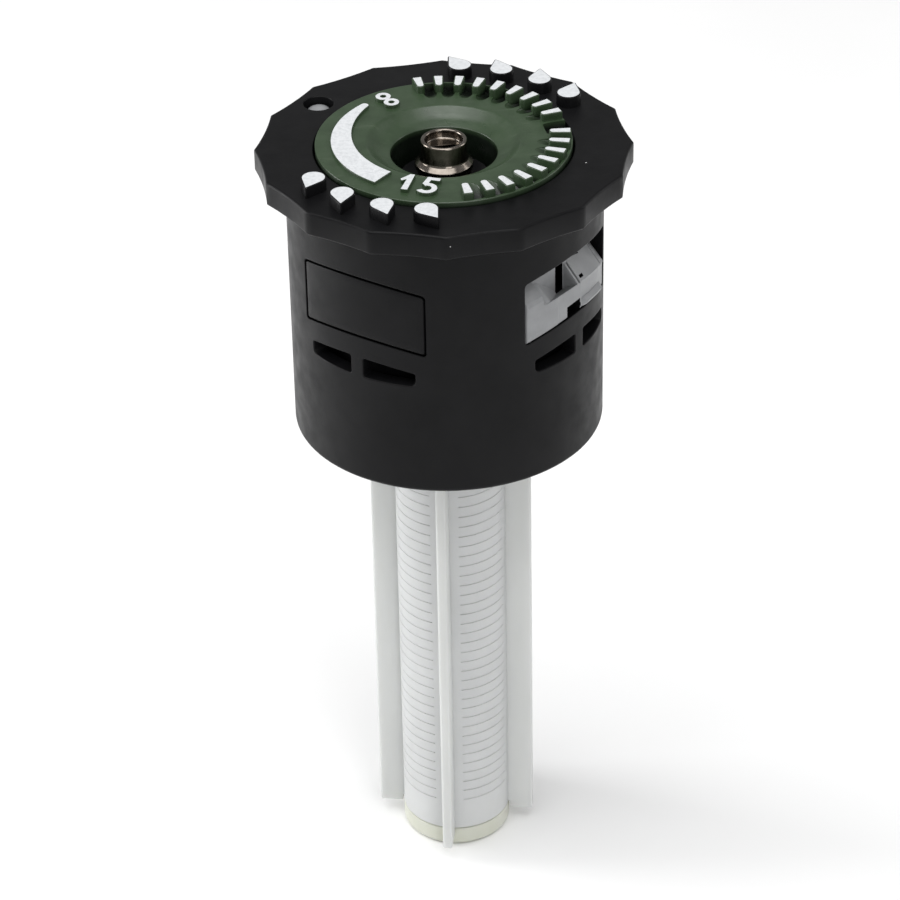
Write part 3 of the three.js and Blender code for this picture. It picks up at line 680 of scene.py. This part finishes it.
def cap_surface(skin):
    marks = [drop_outline(azimuth + turn) for turn in (0, 180) for azimuth in MARK_AZ]
    pin_centre = polar(PIN_CENTRE_R, PIN_AZ)
    spigot_r = BODY_IN_R - 0.15
    bore_r, bore_low = DIAL_R + 0.15, DIAL_SHOULDER - 0.3
    hub_r = DIAL_HUB_R + 0.3
    bore, pin_hole = circle(bore_r + LIP, FLANGE_SIDES), circle(PIN_HOLE_R + LIP, PIN_SIDES, pin_centre)
    skin.patch(scallop_outline(RIM_ROUND), [bore, pin_hole, *marks], flat(FLANGE_TOP))
    for mark in marks:
        rise(skin, mark, FLANGE_TOP, FLANGE_TOP + MARK_RISE, 0.1, paint=1)
    low_edge = [(inset, FLANGE_LOW + drop) for inset, drop in reversed(rounding(RIM_ROUND))]
    top_edge = [(inset, FLANGE_TOP - drop) for inset, drop in rounding(RIM_ROUND, 4)]
    skin.loft([lifted(scallop_outline(inset), z) for inset, z in low_edge + top_edge])
    skin.patch(scallop_outline(RIM_ROUND), [circle(spigot_r, FLANGE_SIDES)], flat(FLANGE_LOW))
    well = [(spigot_r, FLANGE_LOW), (spigot_r, CAP_LOW.z), (hub_r, CAP_LOW.z), (hub_r, bore_low),
            (bore_r, bore_low)]
    skin.turn(well + [(bore_r + out, FLANGE_TOP - down) for out, down in rounding(LIP)], FLANGE_SIDES)
    hole = [(PIN_HOLE_R, PIN_FLOOR)]
    hole += [(PIN_HOLE_R + out, FLANGE_TOP - down) for out, down in rounding(LIP)]
    rings = [lifted(circle(r, PIN_SIDES, pin_centre), z) for r, z in hole]
    skin.fill(rings[0])
    skin.loft(rings)


def pin_surface(skin):
    """The index pin, domed and sunk a little below the flange."""
    centre = polar(PIN_CENTRE_R, PIN_AZ)
    low, shoulder, top = PIN_FLOOR + 0.2, FLANGE_TOP - 0.78, FLANGE_TOP - 0.33
    steps = 8
    dome = [(PIN_R * math.cos(a), shoulder + (top - shoulder) * math.sin(a))
            for a in (math.pi / 2 * i / steps for i in range(steps))]
    loops = [lifted(circle(r, PIN_SIDES, centre), z) for r, z in [(PIN_R, low), *dome]]
    skin.fill(loops[0])
    skin.loft(loops)
    tip = Vector((centre.x, centre.y, top))
    skin.add([*loops[-1], tip], [(i, (i + 1) % PIN_SIDES, PIN_SIDES) for i in range(PIN_SIDES)])


# ---- shell


def stream_point(azimuth, x, w, depth):
    """A point by its offset across a window, its height on the wall and its depth along the stream."""
    r = BODY_R - depth
    turn = math.asin(x / r)
    return polar(r, azimuth + math.degrees(turn), w + (r * math.cos(turn) - BODY_R) * STREAM_RISE)


def divided(loop, length):
    """A loop with its long sides cut into steps no longer than a length."""
    points = []
    for i, here in enumerate(loop):
        step = loop[(i + 1) % len(loop)] - here
        parts = max(1, math.ceil(step.length / length))
        points.extend(here + step * (k / parts) for k in range(parts))
    return points


def window_outline(margin, corner):
    x = WINDOW_HALF_WIDTH - margin
    low, high = WINDOW_LOW + margin, WINDOW_TOP - margin
    corners = [(*place, corner) for place in ((-x, low), (x, low), (x, high), (-x, high))]
    return divided(filleted(corners, 5), WALL_STEP)


def slot_outline(side):
    """One slot of a pair, as (arc length, height) on the wall: level below, and falling away above."""
    arc = math.radians(BODY_R)

    def roof(turn):
        return SLOT_TOP + BODY_R * (math.cos(math.radians(turn)) - 1) * STREAM_RISE

    turns = [SLOT_TO + (SLOT_FROM - SLOT_TO) * k / 6 for k in range(1, 6)]
    near, far = SLOT_FROM * arc, SLOT_TO * arc
    corners = [(near, SLOT_LOW, 0.2), (far, SLOT_LOW, 0.4), (far, roof(SLOT_TO), 0.2),
               *((turn * arc, roof(turn)) for turn in turns), (near, roof(SLOT_FROM), 0.2)]
    outline = divided(filleted(corners, 5), WALL_STEP)
    return outline if side > 0 else [Vector((-p.x, p.y)) for p in reversed(outline)]


def wall_point(azimuth, p, depth):
    return polar(BODY_R - depth, azimuth + math.degrees(p.x / BODY_R), p.y)


def wall_quarter(skin, depth, azimuth, holes):
    """A quarter of the shell's outer or inner face, round holes given as loops in space."""
    low, high = SHELL_LOW.z + SHELL_ROUND, SHELL_HIGH.z - LIP
    half = math.radians(45) * BODY_R
    columns = SHELL_SIDES // 4
    xs = [half * (2 * i / columns - 1) for i in range(columns + 1)]
    zs = [low + (high - low) * j / SHELL_ROWS for j in range(SHELL_ROWS + 1)]
    outer = [Vector((x, low)) for x in xs] + [Vector((half, z)) for z in zs[1:-1]]
    outer += [Vector((x, high)) for x in reversed(xs)] + [Vector((-half, z)) for z in reversed(zs[1:-1])]

    def unrolled(p):
        turn = math.atan2(p.x, -p.y) - math.radians(azimuth)
        return Vector((((turn + math.pi) % (2 * math.pi) - math.pi) * BODY_R, p.z))

    skin.patch(outer, [[unrolled(p) for p in hole] for hole in holes],
               lambda p: wall_point(azimuth, p, depth), spacing=WALL_STEP)


def shell_surface(skin):
    wall = BODY_R - BODY_IN_R
    lips = [*reversed(rounding(LIP)), (0, wall)]
    for azimuth in WINDOW_AZ.values():
        window = window_outline(0, 0.28)
        openings = [[[stream_point(azimuth, *p, depth) for p in grown(window, out)]
                     for out, depth in lips]]
        for slot in (slot_outline(-1), slot_outline(1)):
            openings.append([[wall_point(azimuth, p, depth) for p in grown(slot, out)]
                             for out, depth in lips])
        for loops in openings:
            skin.loft(loops)
        wall_quarter(skin, 0, azimuth, [loops[0] for loops in openings])
        wall_quarter(skin, wall, azimuth, [loops[-1] for loops in openings])
    low, high = SHELL_LOW.z, SHELL_HIGH.z
    first = WINDOW_AZ["left"] - 45
    foot = [(BODY_R - inset, low + drop) for inset, drop in rounding(SHELL_ROUND, 5)]
    skin.turn([*foot, (BODY_IN_R, low), (BODY_IN_R, low + SHELL_ROUND)], SHELL_SIDES, first)
    rim = [(BODY_R - inset, high - drop) for inset, drop in rounding(LIP)]
    skin.turn([*rim, (BODY_IN_R, high), (BODY_IN_R, high - LIP)], SHELL_SIDES, first)


def block_outline(inner, outer):
    """A straight-sided block behind a window, seen from above with the window towards -Y."""
    half = WINDOW_HALF_WIDTH - 0.8
    steps = 12

    def side(radius, sign):
        limit = math.degrees(math.asin(half / radius))
        return [polar(radius, sign * limit * (2 * k / steps - 1)) for k in range(steps + 1)]

    return side(outer, 1) + side(inner, -1)


def window_block(azimuth, inner, outer):
    outline = turned_about(block_outline(inner, outer), azimuth)
    return solid("block", post, outline, INSERT_LOW.z, INSERT_HIGH.z)


def pad_surface(skin, azimuth):
    """The front of a blank plate, almost flush with the shell."""
    sunk, thick, edge = 0.02, 1.5, 0.12
    face = window_outline(0.15, 0.24)
    depths = [(-inset, sunk + depth) for inset, depth in reversed(rounding(edge))]
    loops = [[stream_point(azimuth, *p, depth) for p in grown(face, out)] for out, depth in depths]
    back = [stream_point(azimuth, *p, thick) for p in face]
    skin.patch(grown(face, -edge), [], lambda p: stream_point(azimuth, *p, sunk), spacing=WALL_STEP)
    skin.loft([*loops, back])
    skin.patch(face, [], lambda p: stream_point(azimuth, *p, thick), spacing=WALL_STEP)


# ---- nozzle insert


def stream_stack(skin, azimuth, outline, levels, paint=0):
    """A stack of plan outlines (across, depth) at levels (height, slope, lean back)."""
    def lift(height, slope, lean):
        def placed(p):
            on_pillar = p.x <= PILLAR_X and lean > 0.1
            back = max(0, lean - PILLAR_LAG) if on_pillar else lean
            depth = p.y + (back if p.y < INSERT_BACK - 0.01 else 0)
            return stream_point(azimuth, p.x, height + slope * p.x, depth)
        return placed

    skin.loft([[lift(*level)(p) for p in outline] for level in levels], paint)
    for level in (levels[0], levels[-1]):
        skin.patch(outline, [], lift(*level), paint=paint)


def stream_box(azimuth, left, right, low, high, front, back):
    """A box to cut with, whose faces leave the second material behind: black on the inserts, as painted
    shade on the walls of the hollow.
    """
    corners = [Vector(p) for p in ((left, front), (right, front), (right, back), (left, back))]
    return solid("box", stream_stack, azimuth, corners, [(low, 0, 0), (high, 0, 0)], 1)


def insert_lower(azimuth):
    """An insert's lower face, flush with the shell up to a sloping crease."""
    half, low = WINDOW_HALF_WIDTH - 0.14, WINDOW_LOW + 0.12
    step, sunk = (-2.78, -2.66), 0.07
    plan = [(-half, INSERT_BACK), (-half, 0, 0.1), (step[0], 0, 0.04), (step[1], sunk, 0.04),
            (half, sunk, 0.1), (half, INSERT_BACK)]
    levels = [(low, 0, 0.1), (low + 0.03, 0, 0.03), (low + 0.1, 0, 0), (CREASE - 0.09, CREASE_SLOPE, 0),
              (CREASE - 0.03, CREASE_SLOPE, 0.02), (CREASE, CREASE_SLOPE, 0.08)]
    return solid("lower", stream_stack, azimuth, divided(filleted(plan, 3), INSERT_STEP), levels)


def insert_upper(azimuth):
    """An insert's upper part, which leans back: a pillar, a flared jet, a post and a ribbed block."""
    half, high = WINDOW_HALF_WIDTH - 0.14, WINDOW_TOP - 0.12
    pillar = [(-half, INSERT_BACK), (-half, -0.02, 0.1), (-4.3, -0.02, 0.1)]
    jet = [(-3.5, 0.1, 0.1), (-1.4, 1.25, 0.08), (-1.36, 3.4), (-0.24, 3.4)]
    post_and_groove = [(-0.22, 0.02, 0.06), (-0.02, 0.02, 0.04), (0.02, 0.5), (0.15, 0.5)]
    block = [(0.19, 0.02, 0.05), (4.5, 0.02, 0.04), (4.53, 0.4), (4.63, 0.4), (4.66, 0.02, 0.04),
             (half, 0.02, 0.1), (half, INSERT_BACK)]
    plan = filleted(pillar + jet + post_and_groove + block, 3)
    rise_by = [0.0, 0.5, 1.0, 1.5, 2.0, 2.5, high - CREASE - 0.12]
    levels = [(CREASE - 0.3, CREASE_SLOPE, 0.05)]
    levels += [(CREASE + up, CREASE_SLOPE * (1 - up / (high - CREASE)), INSERT_LEAN * up)
               for up in rise_by]
    levels += [(high, 0, INSERT_LEAN * (high - CREASE) + 0.12)]
    return solid("upper", stream_stack, azimuth, divided(plan, INSERT_STEP), levels)


def insert_mesh(azimuth):
    """A nozzle insert, with a lip below and hollows where its jets go through, whose walls are painted
    black as shade.
    """
    low, high, front = WINDOW_LOW - 0.38, WINDOW_TOP + 0.38, -0.5
    parts = [insert_upper(azimuth), solid("lip", lip_surface, azimuth),
             window_block(azimuth, BODY_R - 5.0, BODY_R - 1.4)]
    # painted shade: the walls of these four hollows take the black material, standing in for the shade
    # deep inside them
    corner = stream_box(azimuth, 5.05, WINDOW_HALF_WIDTH + 0.16, CREASE + 1.9, high, front, 3.4)
    notch = stream_box(azimuth, -1.6, 0.2, low, NOTCH_TOP, front, 2.4)
    hole = stream_box(azimuth, 0.45, 1.0, CREASE + 0.27, CREASE + 0.6, front, 0.9)
    channel = stream_box(azimuth, -1.36, 2.2, CREASE - 0.25, high, 1.3, 4.6)
    whole = combined(insert_lower(azimuth), parts, "UNION")
    return combined(whole, [corner, notch, hole, channel], "DIFFERENCE")


def lip_surface(skin, azimuth):
    """The ramp along an insert's foot, which throws the near stream outwards."""
    section = filleted([(0.6, 0.45), (0.06, 0.45, 0.2), (-0.34, -0.16, 0.12), (-0.32, -0.34, 0.08),
                        (0.0, -0.42, 0.05), (0.6, -0.42)], 4)
    root = 0.1
    stations = [(0.1, 0.0), (0.35, 0.6), *((x, 1.0) for x in (0.7, 1.3, 1.9, 2.5, 3.1, 3.7)), (4.2, 0.7),
                (4.6, 0.0)]
    loops = []
    for x, share in stations:
        loops.append([stream_point(azimuth, x, LIP_Z + p.y * (0.4 + 0.6 * share),
                                   root + (p.x - root) * share if p.x < root else p.x) for p in section])
    skin.bar(loops)


# ---- dial


def dial_body(skin):
    top, bottom = DIAL_TOP, DIAL_LOW.z
    bowl = filleted([(DIAL_R - 2, top), (BOWL_R + 0.08, top, 0.55), (5.45, top - 0.68, 2.4),
                     (WELL_R, WELL_TOP, 0.12), (WELL_R, bottom)], 8, closed=False)
    rim = [(DIAL_R - inset, top - drop) for inset, drop in rounding(0.1)]
    shoulder, roof, groove_in, groove_out = DIAL_SHOULDER, DIAL_SHOULDER + 0.75, 9.25, 10.15
    groove = [(groove_in, shoulder), (groove_in, roof), (groove_out, roof), (groove_out, shoulder)]
    foot = [(DIAL_HUB_R, bottom), (DIAL_HUB_R, shoulder), *groove, (DIAL_R, shoulder)]
    skin.turn([*foot, *rim, *bowl], DIAL_SIDES, closed=True)


def crescent_outline():
    """The raised band, which narrows clockwise to a round end."""
    first, sweep, steps = -37, 96, 48
    shares = [k / steps for k in range(steps + 1)]
    outer = [polar(9.25, first - sweep * share) for share in shares]
    inner = [polar(7.02 + 1.5 * share ** 2.2, first - sweep * share) for share in shares]
    middle, half = (outer[-1] + inner[-1]) / 2, (outer[-1] - inner[-1]).length / 2
    start = math.atan2(outer[-1].y - middle.y, outer[-1].x - middle.x)
    tip = [middle + half * direction(start - math.pi * k / 8) for k in range(1, 8)]
    return (outer + tip + inner[::-1])[::-1]


def eight_outline():
    """An 8 of two rings, its height along +X, and its two counters."""
    lobe, apart, stroke = 0.68, 1.26, 0.45
    limit = math.acos(apart / 2 / lobe)
    arc = [limit + (2 * math.pi - 2 * limit) * k / 30 for k in range(31)]
    left = [Vector((-apart / 2, 0)) + lobe * direction(angle) for angle in arc]
    right = [-p for p in left]
    counters = [circle(lobe - stroke, 20, (x, 0)) for x in (-apart / 2, apart / 2)]
    return left[:-1] + right[:-1], counters


def numeral_meshes():
    """The 8, and the 1 and 5 of 15, as overlapping strokes."""
    low, high = DIAL_TOP - NUMERAL_ROOT, DIAL_TOP + NUMERAL_RISE

    def stroke(outline, turn, shift, counters=()):
        outline, *holes = (turned_about(loop, turn, shift) for loop in (outline, *counters))
        return solid("stroke", post, outline, low, high, 0.045, 0.01, 1, holes)

    def strokes(shapes, turn, shift, rounded=0.09):
        return [stroke(filleted([(*corner, rounded) for corner in shape], 4), turn, shift)
                for shape in shapes]

    eight, counters = eight_outline()
    eight_az = -146.5
    hook = [[(-0.06 + r * math.cos(a), -0.48 + r * math.sin(a))
             for a in (math.radians(-148 + 278 * k / 24) for k in range(25))] for r in (0.89, 0.36)]
    one = [[(-0.31, -1.31), (0.31, -1.31), (0.31, 1.31), (-0.2, 1.31)],
           [(-0.75, 0.42), (-0.6, 0.05), (0.25, 0.72), (0.2, 1.29), (-0.12, 1.29)]]
    five = [[(-0.5, 0.84), (0.68, 0.84), (0.68, 1.36), (-0.5, 1.36)],
            [(-0.64, 0.08), (-0.1, 0.08), (0.0, 1.34), (-0.5, 1.34)]]
    five_turn, five_at = -16.5, (-1.24, -8.13)
    return [stroke(eight, eight_az - 90, polar(8.37, eight_az), counters),
            *strokes(one, -14.6, (-2.92, -7.47)),
            *strokes(five, five_turn, five_at),
            stroke([Vector(p) for p in hook[0] + hook[1][::-1]], five_turn, five_at)]


def flute_surface(skin, azimuth):
    """A scoop between two ribs, which widens and deepens outwards to just inside the rim."""
    stations = [(7.62, 0.05, 0.02), (7.72, 0.26, 0.05), (7.95, 0.42, 0.12), (8.3, 0.54, 0.24),
                (8.8, 0.62, 0.42), (9.4, 0.67, 0.60), (9.9, 0.70, 0.74), (10.2, 0.72, 0.80),
                (10.29, 0.64, 0.80)]
    steps = 12
    loops = []
    for radius, half, depth in stations:
        bottom = [(half * math.cos(a), -depth * abs(math.sin(a)) ** 0.75)
                  for a in (math.pi * k / steps for k in range(steps + 1))]
        across = [(half, 0.4), *bottom, (-half, 0.4)]
        spot = [Vector((y, -radius, z + DIAL_TOP)) for y, z in across]
        loops.append([Matrix.Rotation(math.radians(azimuth), 3, "Z") @ p for p in spot])
    skin.bar(loops)


def rib_outline(azimuth):
    """A grip rib, square outside and round inside."""
    half = RIB_WIDE / 2
    narrow = half - 0.1
    round_end = narrow * 0.98
    corners = [(RIB_IN, -narrow, round_end), (RIB_OUT, -half, 0.13), (RIB_OUT, half, 0.13),
               (RIB_IN, narrow, round_end)]
    return turned_about(filleted(corners, 6), azimuth - 90)


def notch_outline():
    """The gap in the rim between the two groups of ribs."""
    first, last, depth_r = 95.0, 107.5, 8.5
    outer = [polar(DIAL_R + 0.5, first + (last - first) * k / 8) for k in range(9)]
    corners = [(*polar(depth_r, last), 0.3), (*polar(depth_r, first), 0.3)]
    return filleted([*(tuple(p) for p in outer), *corners], 5)


def dial_mesh():
    first = -(RIBS_IN_GROUP - 1) / 2
    ribs = [[middle + (first + i) * RIB_PITCH for i in range(RIBS_IN_GROUP)] for middle in RIB_GROUP_AZ]
    flutes = [(a + b) / 2 for group in ribs for a, b in zip(group, group[1:])]
    body = solid("body", dial_body)
    low, high = DIAL_TOP - NUMERAL_ROOT, DIAL_TOP + BAND_RISE
    raised = [solid("band", post, crescent_outline(), low, high, 0.05, 0.01, 1)]
    body = combined(body, raised + numeral_meshes(), "UNION")
    cuts = [solid("flute", flute_surface, azimuth) for azimuth in flutes]
    cuts.append(solid("notch", post, notch_outline(), DIAL_TOP - 0.75, DIAL_TOP + 2))
    for azimuth in (0, 180):
        key = [Vector(p) for p in ((KEY_IN, -1), (DIAL_HUB_R, -1), (DIAL_HUB_R, 1), (KEY_IN, 1))]
        cuts.append(solid("key", post, turned_about(key, azimuth - 90), DIAL_LOW.z - 0.5, KEY_TOP))
    body = combined(body, cuts, "DIFFERENCE")
    posts = [solid("rib", post, rib_outline(azimuth), DIAL_TOP - 0.95, RIB_TOP, 0.09, 0.01, 1)
             for group in ribs for azimuth in group]
    return combined(body, posts, "UNION")


# ---- screw, filter and inlet


def screw_surface(skin):
    top, low = SCREW_HIGH.z, SCREW_LOW.z
    floor = top - RECESS_DEPTH
    collar = [(SHANK_R, COLLAR_LOW), (2.1, COLLAR_LOW, 0.1), (COLLAR_R, COLLAR_LOW + 0.32, 0.12),
              (COLLAR_R, COLLAR_LOW + 0.7, 0.16), (SCREW_R + 0.12, COLLAR_LOW + 1.02, 0.12)]
    head = [(SCREW_R, COLLAR_LOW + 1.2), (SCREW_R, top, 0.16), (RECESS_R, top, 0.16),
            (RECESS_R, floor, 0.16), (POLE_R, floor)]
    shank = [(POLE_R, low), (SHANK_R - 0.1, low), (SHANK_R, low + 0.1)]
    skin.turn(shank + filleted(collar + head, 6, closed=False), TURNED_SIDES)
    for height in (low, floor):
        skin.fill(lifted(circle(POLE_R, TURNED_SIDES), height))


def screw_mesh():
    floor, long, wide = SCREW_HIGH.z - RECESS_DEPTH, 1.4, 0.25
    corners = [(*place, 0.08) for place in ((-long, -wide), (long, -wide), (long, wide), (-long, wide))]
    slot = solid("slot", post, turned_about(filleted(corners, 4), 8), floor - 0.6, floor + 0.3)
    return combined(solid("screw", screw_surface), [slot], "DIFFERENCE")


def screen_surface(skin):
    """The filter's tube, with rows of fine slits between its fins."""
    columns = TURNED_SIDES
    quarter = columns // 4
    margin = 4                       # columns left closed beside each fin
    levels = [SCREEN_LOW_Z, SCREEN_LOW_Z + 1.4]
    for i in range(SLITS):
        levels += [SLIT_FIRST + i * SLIT_PITCH, SLIT_FIRST + i * SLIT_PITCH + SLIT_HEIGHT]
    levels += [levels[-1] + 1.2, SCREEN_HIGH.z]
    outer, inner = SCREEN_R, SCREEN_R - SCREEN_WALL

    def is_open(row, column):
        in_band = 2 <= row < 2 + 2 * SLITS and row % 2 == 0
        return in_band and margin <= column % quarter < quarter - margin

    def corner(radius, column, row):
        return polar(radius, FIN_AZ + 360 * column / columns, levels[row])

    rows = len(levels) - 1
    for row in range(rows):
        for column in range(columns):
            if is_open(row, column):
                continue
            a, b, c, d = (column, row), (column + 1, row), (column + 1, row + 1), (column, row + 1)
            for radius in (outer, inner):
                skin.add([corner(radius, *place) for place in (a, b, c, d)], [(0, 1, 2, 3)])
            sides = [(a, d, is_open(row, (column - 1) % columns)),
                     (b, c, is_open(row, (column + 1) % columns)),
                     (a, b, row == 0 or is_open(row - 1, column)),
                     (d, c, row == rows - 1 or is_open(row + 1, column))]
            for start, end, bare in sides:
                if bare:
                    skin.add([corner(outer, *start), corner(outer, *end),
                              corner(inner, *end), corner(inner, *start)], [(0, 1, 2, 3)])


def screen_mesh():
    half, root = FIN_THICK / 2, SCREEN_R - 0.3
    fin = filleted([(root, -half), (FIN_R, -half, 0.2), (FIN_R, half, 0.2), (root, half)], 4)
    fins = [solid("fin", post, turned_about(fin, FIN_AZ + turn - 90), SCREEN_LOW.z, FIN_TOP, 0.14, 0.1)
            for turn in range(0, 360, 90)]
    whole = combined(solid("tube", screen_surface), fins, "UNION")
    clear = circle(SCREEN_R + 0.15, TURNED_SIDES)
    return combined(whole, [solid("clear", post, clear, -1, SCREEN_LOW_Z - 0.001)], "DIFFERENCE")


def foot_surface(skin):
    """The filter's cap: a ring that plugs into the tube, closed by a thin floor."""
    plug_r, plug_in, under, floor = SCREEN_R - SCREEN_WALL - 0.15, 3.4, 0.5, 1.3
    rim = [(POLE_R, under), (3.6, under, 0.15), (3.9, 0, 0.2), (4.5, 0, 0.3), (SCREEN_R, 0.4, 0.25),
           (SCREEN_R, FOOT_RIM, 0.12)]
    plug = [(plug_r, FOOT_RIM), (plug_r, FOOT_TOP, 0.15), (plug_in, FOOT_TOP, 0.15),
            (plug_in, floor, 0.15), (POLE_R, floor)]
    skin.turn(filleted(rim + plug, 4, closed=False), TURNED_SIDES)
    for height in (under, floor):
        skin.fill(lifted(circle(POLE_R, TURNED_SIDES), height))


def base_body(skin):
    low, high, ceiling = BASE_LOW.z, BASE_HIGH.z, BASE_CEILING
    outer, waterway, tube, spigot_r = BASE_HIGH.x, 3.4, SCREEN_R + 0.15, 5.9
    outside = [(THREAD_R + 0.25, low), (outer, low, 0.25), (outer, high, 0.1), (waterway, high)]
    spigot = [(waterway, ceiling), (tube, ceiling), (tube, SPIGOT_LOW, 0.15),
              (spigot_r, SPIGOT_LOW, 0.15), (spigot_r, ceiling, 0.1)]
    socket = [(THREAD_R, ceiling, 0.1), (THREAD_R, low + 0.25)]
    skin.turn(filleted(outside + spigot + socket, 4), SHELL_SIDES, closed=True)


def thread_surface(skin):
    """The riser thread's ridge, which runs out at both ends."""
    steps = 72
    count, root = steps * THREAD_TURNS, THREAD_R + 0.12
    loops = []
    for i in range(count + 1):
        share = min(1.0, 8 * i / count, 8 * (1 - i / count)) * 0.98 + 0.02
        azimuth, z = 90 + 360 * i / steps, BASE_LOW.z + 0.95 + THREAD_PITCH * i / steps
        crest = root - 0.46 * share
        section = ((root, -0.33), (crest, -0.06), (crest, 0.06), (root, 0.33))
        loops.append([polar(r, azimuth, z + up) for r, up in section])
    skin.bar(loops)


def base_mesh():
    pockets = []
    for first in range(5, 360, 60):
        outer, inner = ([(*polar(r, first + 50 * k / 16),) for k in range(17)] for r in (10.7, 9.1))
        corners = [(*p, 0.25) if k in (0, 16, 17, 33) else p for k, p in enumerate(outer + inner[::-1])]
        pockets.append(solid("pocket", post, filleted(corners, 4), BASE_LOW.z - 1, POCKET_TOP))
    whole = combined(solid("body", base_body), [solid("thread", thread_surface)], "UNION")
    return combined(whole, pockets, "DIFFERENCE")


def gasket_surface(skin):
    low, high = span("riser_gasket")
    inner, edge = 6.2, 0.15
    section = ((inner, low.z), (high.x, low.z), (high.x, high.z), (inner, high.z))
    skin.turn(filleted([(*corner, edge) for corner in section], 4), 120, closed=True)


# ---- pieces

piece("cap", solid("cap", cap_surface), "head", ["top_cap"], [BLACK, PAINT])
piece("pin", solid("pin", pin_surface), "head", ["index_pin"], [GREY])
piece("shell", solid("shell", shell_surface), "head", ["head_housing"], [BLACK], radius=BODY_R)
for side in ("left", "rear"):
    block = window_block(WINDOW_AZ[side], BODY_IN_R - 2, BODY_IN_R - 0.2)
    plate = combined(solid("pad", pad_surface, WINDOW_AZ[side]), [block], "UNION")
    piece("blank_" + side, plate, "head", ["blank_plate_" + side], [BLACK])
for side in ("right", "far"):
    # the inserts' second material, black, is painted shade on the walls of their hollows
    piece("insert_" + side, insert_mesh(WINDOW_AZ[side]), "head", ["nozzle_insert_" + side],
          [GREY, BLACK], smooth=12)
piece("dial", dial_mesh(), "dial", ["radius_dial"], [GREEN, PAINT])
piece("screw", screw_mesh(), "screw", ["throttle_screw"], [STEEL])
piece("screen", screen_mesh(), "base", ["filter_screen"], [SCREEN])
piece("screen_foot", solid("foot", foot_surface), "base", ["filter_foot"], [CREAM])
piece("inlet", base_mesh(), "base", ["inlet_base"], [BLACK])
piece("gasket", solid("gasket", gasket_surface), "base", ["riser_gasket"], [RUBBER])

INNER = {
    BLACK: ["gear_case", "case_lid", "nozzle_carrier"],
    GREY: ["throttle_seat", "turbine_wheel", "planet_carrier_1", "output_carrier", "flow_shutter"],
    ACETAL: ["stator", "ring_gear", "thrust_washer", "sun_gear_1", "sun_gear_2", "throttle_rod",
             *(f"planet_gear_{stage}{gear}" for stage in (1, 2) for gear in "abc")],
    STEEL: ["centre_tube", "screw_washer", "screw_clip"],
    RUBBER: ["base_seal", "dial_seal"],
}
for material, nodes in INNER.items():
    for node in nodes:
        thing = frame["nodes"][node]
        thing.data.materials.clear()
        thing.data.materials.append(material)

# ---- stage, lights and camera


def floor():
    finish = Finish("floor_paper", (0.9, 0.9, 0.9), 0.9, Specular_IOR_Level=0.1)
    finish.tone(0.88, 0.92, 60.0)
    mesh = bpy.data.meshes.new("floor")
    size = 3.0
    corners = [(x * size, y * size, 0) for x, y in ((-1, -1), (1, -1), (1, 1), (-1, 1))]
    mesh.from_pydata(corners, [], [(0, 1, 2, 3)])
    mesh.materials.append(finish.material)
    added("floor", mesh)


def light(name, place, size, power):
    """A soft light of a size (width, height) in metres, facing the head of the nozzle."""
    data = bpy.data.lights.new(name, "AREA")
    data.shape = "RECTANGLE"
    data.size, data.size_y = size
    data.energy = power
    facing = (Vector((0, 0, 0.06)) - Vector(place)).to_track_quat("-Z", "Y")
    added(name, data).matrix_world = Matrix.Translation(place) @ facing.to_matrix().to_4x4()


def world():
    made = bpy.data.worlds.new("studio")
    made.use_nodes = True
    background = made.node_tree.nodes["Background"]
    background.inputs["Color"].default_value = (1, 1, 1, 1)
    background.inputs["Strength"].default_value = 0.34
    bpy.context.scene.world = made


def camera():
    data = bpy.data.cameras.new("camera")
    data.lens = 142.49
    data.sensor_width = 36
    data.clip_start, data.clip_end = 0.01, 20
    thing = added("camera", data)
    place = Matrix.Translation(Vector((0.008, -257.86, 205.65)) * MM)
    tilt, roll = (Matrix.Rotation(math.radians(a), 4, axis) for a, axis in ((57.231, "X"), (-1.151, "Z")))
    thing.matrix_world = place @ tilt @ roll
    bpy.context.scene.camera = thing


floor()
light("left_box", (-0.34, 0.06, 0.14), (0.14, 0.3), 0.9)
light("right_box", (0.36, 0.10, 0.20), (0.14, 0.3), 0.3)
light("top_box", (0.0, 0.02, 0.5), (0.2, 0.2), 0.3)
light("key_box", (-0.08, -0.16, 0.6), (0.7, 0.5), 2.7)
light("front_box", (0.26, -0.62, 0.36), (0.3, 0.3), 1.0)
world()
camera()
bpy.context.scene.view_settings.view_transform = "Standard"
